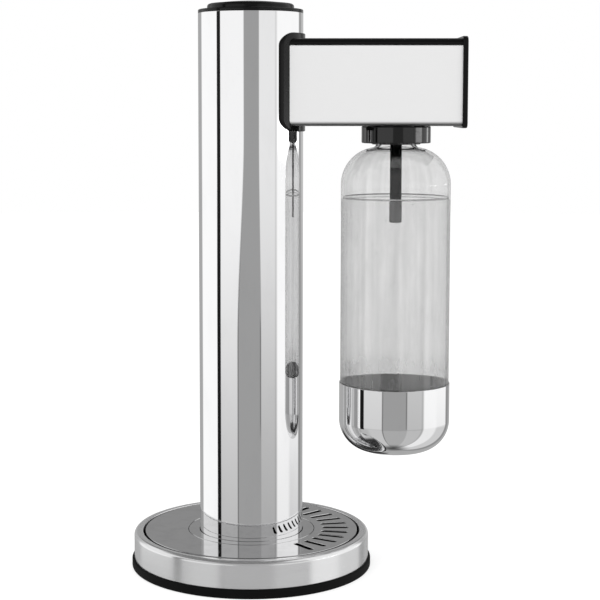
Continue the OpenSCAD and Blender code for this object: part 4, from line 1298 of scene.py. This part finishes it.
class WATERMAKER_OT_inside(bpy.types.Operator):
    """Finishes of the parts inside the tower, the arm and the base"""
    bl_idname = "watermaker.inside"
    bl_label = "Inside"

    def execute(self, context):
        c = palette()
        by_slot = {
            "polished_steel": polished_steel("mirror_steel"),
            "brushed_steel": brushed_shell("brushed_shell"),
            "zinc_steel": machined("zinc_plate", c.zinc, 0.28, 1400.0),
            "cast_weight": cast_iron("cast_iron"),
            "black_rubber": foot_rubber("foot_rubber", c.rubber),
            "grey_rubber": foot_rubber("seal_rubber", c.seal),
            "gloss_black": gloss_black("gloss_moulding"),
            "satin_black": satin_black("satin_moulding"),
            "inner_plastic": inner_moulding("inner_moulding"),
            "alloy": machined("milled_alloy", c.alloy, 0.3, 900.0),
            "cylinder_alloy": machined("cylinder_lacquer", c.cylinder, 0.34, 60.0),
            "brass": machined("turned_brass", c.brass, 0.24, 1600.0),
            "hose": hose_wall("hose_wall"),
            "clear_plastic": clear_plastic("bottle_plastic", 1.5, c.clear),
        }
        for part in frame["record"]["subparts"]:
            mesh = frame["nodes"][part["node"]].data
            mesh.materials.clear()
            mesh.materials.append(by_slot[part["material_slot"]])
        return {"FINISHED"}


def studio_floor(studio):
    ring = [(x, y, 0) for x, y in circle(studio.floor_radius, 96)]
    mesh = bpy.data.meshes.new("floor")
    mesh.from_pydata(ring, [], [list(range(len(ring)))])
    floor = bpy.data.objects.new("floor", mesh)
    bpy.context.scene.collection.objects.link(floor)
    mesh.materials.append(white_floor("white_floor"))


def studio_world(scene, studio):
    """White to the camera and the clear plastic; metal sees soft walls, a grey strip and a dark flag.

    The pattern comes from two angles of a ray: turn, from the camera's side, and height over the floor.
    """
    world = bpy.data.worlds.new("studio")
    world.use_nodes = True
    scene.world = world
    b = Bench(world.node_tree)
    x, y, z = b.split(b.wire(b.add("TexCoord"), "Generated"))
    turn, height = b.angle(x, -y) * DEGREE, b.math("ARCSINE", z) * DEGREE
    away = abs(turn)
    slope = b.math("MINIMUM", height, 6.0 - height * 1.5)
    sink = 1 - b.rise(slope, -9.0, -1.0)

    # Walls to the left and right, and the grey strip behind the camera with its two thin lines
    port = b.fade(b.rise(slope, -19.0, -2.0), 0.5, 1.0)
    starboard = b.fade(b.rise(slope, -17.0, -1.0), 0.45, 0.88)
    walls = b.fade(b.rise(turn, -1.5, 1.5), port, starboard)
    left, right = 14.5 + sink * 14.0, 18.5 + sink * 4.5
    strip = b.rise(turn, -left - 1.2, 1.2 - left) * (1 - b.rise(turn, right - 1.2, right + 1.2))
    walls = b.fade(strip, walls, 0.36)
    walls = walls * (1 - b.band(turn + left, -1.2, 1.6, 0.5) * sink * 0.5)
    walls = walls * (1 - b.band(turn - right, -3.0, -0.4, 0.5) * b.band(height, -12.2, -8.0, 0.4) * 0.4)

    # Bright sides, and the two light boxes on the right
    port = b.fade(b.rise(height, -16.9, -15.3), 0.42, b.fade(b.rise(height, 2.0, 12.0), 1.06, 0.9))
    walls = b.fade(b.band(turn, -142.0, -79.0, 2.0), walls, port)
    starboard = b.fade(b.rise(height, -17.0, -9.0), b.fade(b.rise(turn, 90.0, 100.0), 0.9, 0.66), 1.05)
    walls = b.fade(b.band(turn, 60.0, 150.0, 3.0), walls, starboard)
    walls = walls * (1 - b.band(turn, 55.0, 59.0, 1.5) * 0.16)
    boxes = b.band(turn, 64.0, 90.0, 3.0) * 4.0 + b.band(turn, 118.0, 128.0, 3.0) * 2.5
    walls = walls + boxes * b.band(height, -1.7, -0.5, 0.3)

    # The dark flag, and the far ends of both sides
    flag = b.band(turn + sink, -78.5, -69.0, 0.8) * b.rise(height, -18.3, -16.8)
    walls = walls * (1 - flag * 0.985)
    walls = b.fade(1 - b.rise(turn, -139.0, -132.0), walls, 0.42)
    verge = b.fade(b.rise(turn, 143.0, 149.0), 0.36 - sink * 0.06, 0.55 - sink * 0.12)
    walls = b.fade(b.rise(turn, 129.0, 134.0), walls, verge)

    # Ground, the wall opposite the camera and the ceiling
    walls = walls * (1 + b.band(turn, -60.0, 58.0, 6.0) * (1 - b.rise(height, -17.0, -16.2)) * 0.2)
    back = b.fade(b.rise(height, 19.0, 25.0), 0.31, 0.06)
    walls = b.fade(b.rise(away, 150.0, 160.0) * b.rise(height, 4.0, 10.0), walls, back)
    walls = walls * (1 - b.band(turn, -184.0, -152.0, 5.0) * b.band(height, -54.0, -19.0, 3.0) * 0.95)
    walls = walls * b.fade(b.rise(height, -88.0, -68.0), 0.2, 1.0)
    side = b.band(away, 78.0, 152.0, 12.0) * 12.0
    lid = 1 - b.rise(height - b.rise(turn, 0.0, 40.0) * 20.0, 38.0, 50.0)
    ceiling = b.fade(b.rise(away, 28.0, 60.0) * b.rise(turn, -156.0, -142.0) * lid, 0.06, 0.95)
    walls = b.fade(b.rise(height + side, 30.0, 46.0), walls, ceiling)

    path = b.add("LightPath")
    level = b.fade(b.wire(path, "Is Glossy Ray"), studio.light, walls)
    for kind in ("Is Transmission Ray", "Is Camera Ray"):
        level = b.fade(b.wire(path, kind), level, 1.0)
    sky = b.add("Background", None, {"Color": grey(1.0), "Strength": level})
    b.add("OutputWorld", None, {"Surface": b.wire(sky)})


def softbox(studio):
    data = bpy.data.lights.new("softbox", "AREA")
    data.shape = "DISK"
    data.size = 1.4
    data.energy = studio.lamp
    lamp = bpy.data.objects.new("softbox", data)
    lamp.visible_glossy = False
    lamp.location = (0.1, -0.3, 1.7)
    lamp.rotation_euler = (radians(-10), 0, 0)
    bpy.context.scene.collection.objects.link(lamp)


def studio_camera(scene, studio):
    data = bpy.data.cameras.new("camera")
    data.sensor_width = 36
    data.lens = studio.lens
    data.shift_x, data.shift_y = studio.shift
    camera = bpy.data.objects.new("camera", data)
    camera.location = studio.camera_at
    camera.rotation_euler = (pi / 2 - studio.pitch, 0, 0)
    scene.collection.objects.link(camera)
    scene.camera = camera


class WATERMAKER_OT_stage(bpy.types.Operator):
    """White floor, soft studio light and camera"""
    bl_idname = "watermaker.stage"
    bl_label = "Stage"

    def execute(self, context):
        studio = context.scene.maker_studio
        context.scene.view_settings.view_transform = "Standard"
        studio_floor(studio)
        studio_world(context.scene, studio)
        softbox(studio)
        studio_camera(context.scene, studio)
        return {"FINISHED"}


class WATERMAKER_PT_panel(bpy.types.Panel):
    """Pieces and settings of the water maker"""
    bl_idname = "WATERMAKER_PT_panel"
    bl_label = "Water maker"
    bl_space_type = "VIEW_3D"
    bl_region_type = "UI"
    bl_category = "Water maker"

    def draw(self, context):
        for operator in OPERATORS:
            self.layout.operator(operator.bl_idname)
        for name in GROUPS:
            box, group = self.layout.box(), getattr(context.scene, name)
            for key in group.bl_rna.properties.keys():
                if key not in ("rna_type", "name"):
                    box.prop(group, key)


OPERATORS = (
    WATERMAKER_OT_inside, WATERMAKER_OT_base, WATERMAKER_OT_tower, WATERMAKER_OT_button, WATERMAKER_OT_arm,
    WATERMAKER_OT_head, WATERMAKER_OT_bottle, WATERMAKER_OT_springs, WATERMAKER_OT_stage,
)
GROUPS = {"maker_sizes": MakerSizes, "maker_colours": MakerColours, "maker_studio": MakerStudio}
CLASSES = (*GROUPS.values(), *OPERATORS, WATERMAKER_PT_panel)


def register():
    for cls in CLASSES:
        bpy.utils.register_class(cls)
    for name, group in GROUPS.items():
        setattr(bpy.types.Scene, name, PointerProperty(type=group))


def unregister():
    for name in GROUPS:
        delattr(bpy.types.Scene, name)
    for cls in reversed(CLASSES):
        bpy.utils.unregister_class(cls)


def main():
    register()
    bpy.ops.watermaker.inside()
    bpy.ops.watermaker.base()
    bpy.ops.watermaker.tower()
    bpy.ops.watermaker.button()
    bpy.ops.watermaker.arm()
    bpy.ops.watermaker.head()
    bpy.ops.watermaker.bottle()
    bpy.ops.watermaker.springs()
    bpy.ops.watermaker.stage()
    bpy.context.view_layer.update()


if __name__ == "__main__":
    main()
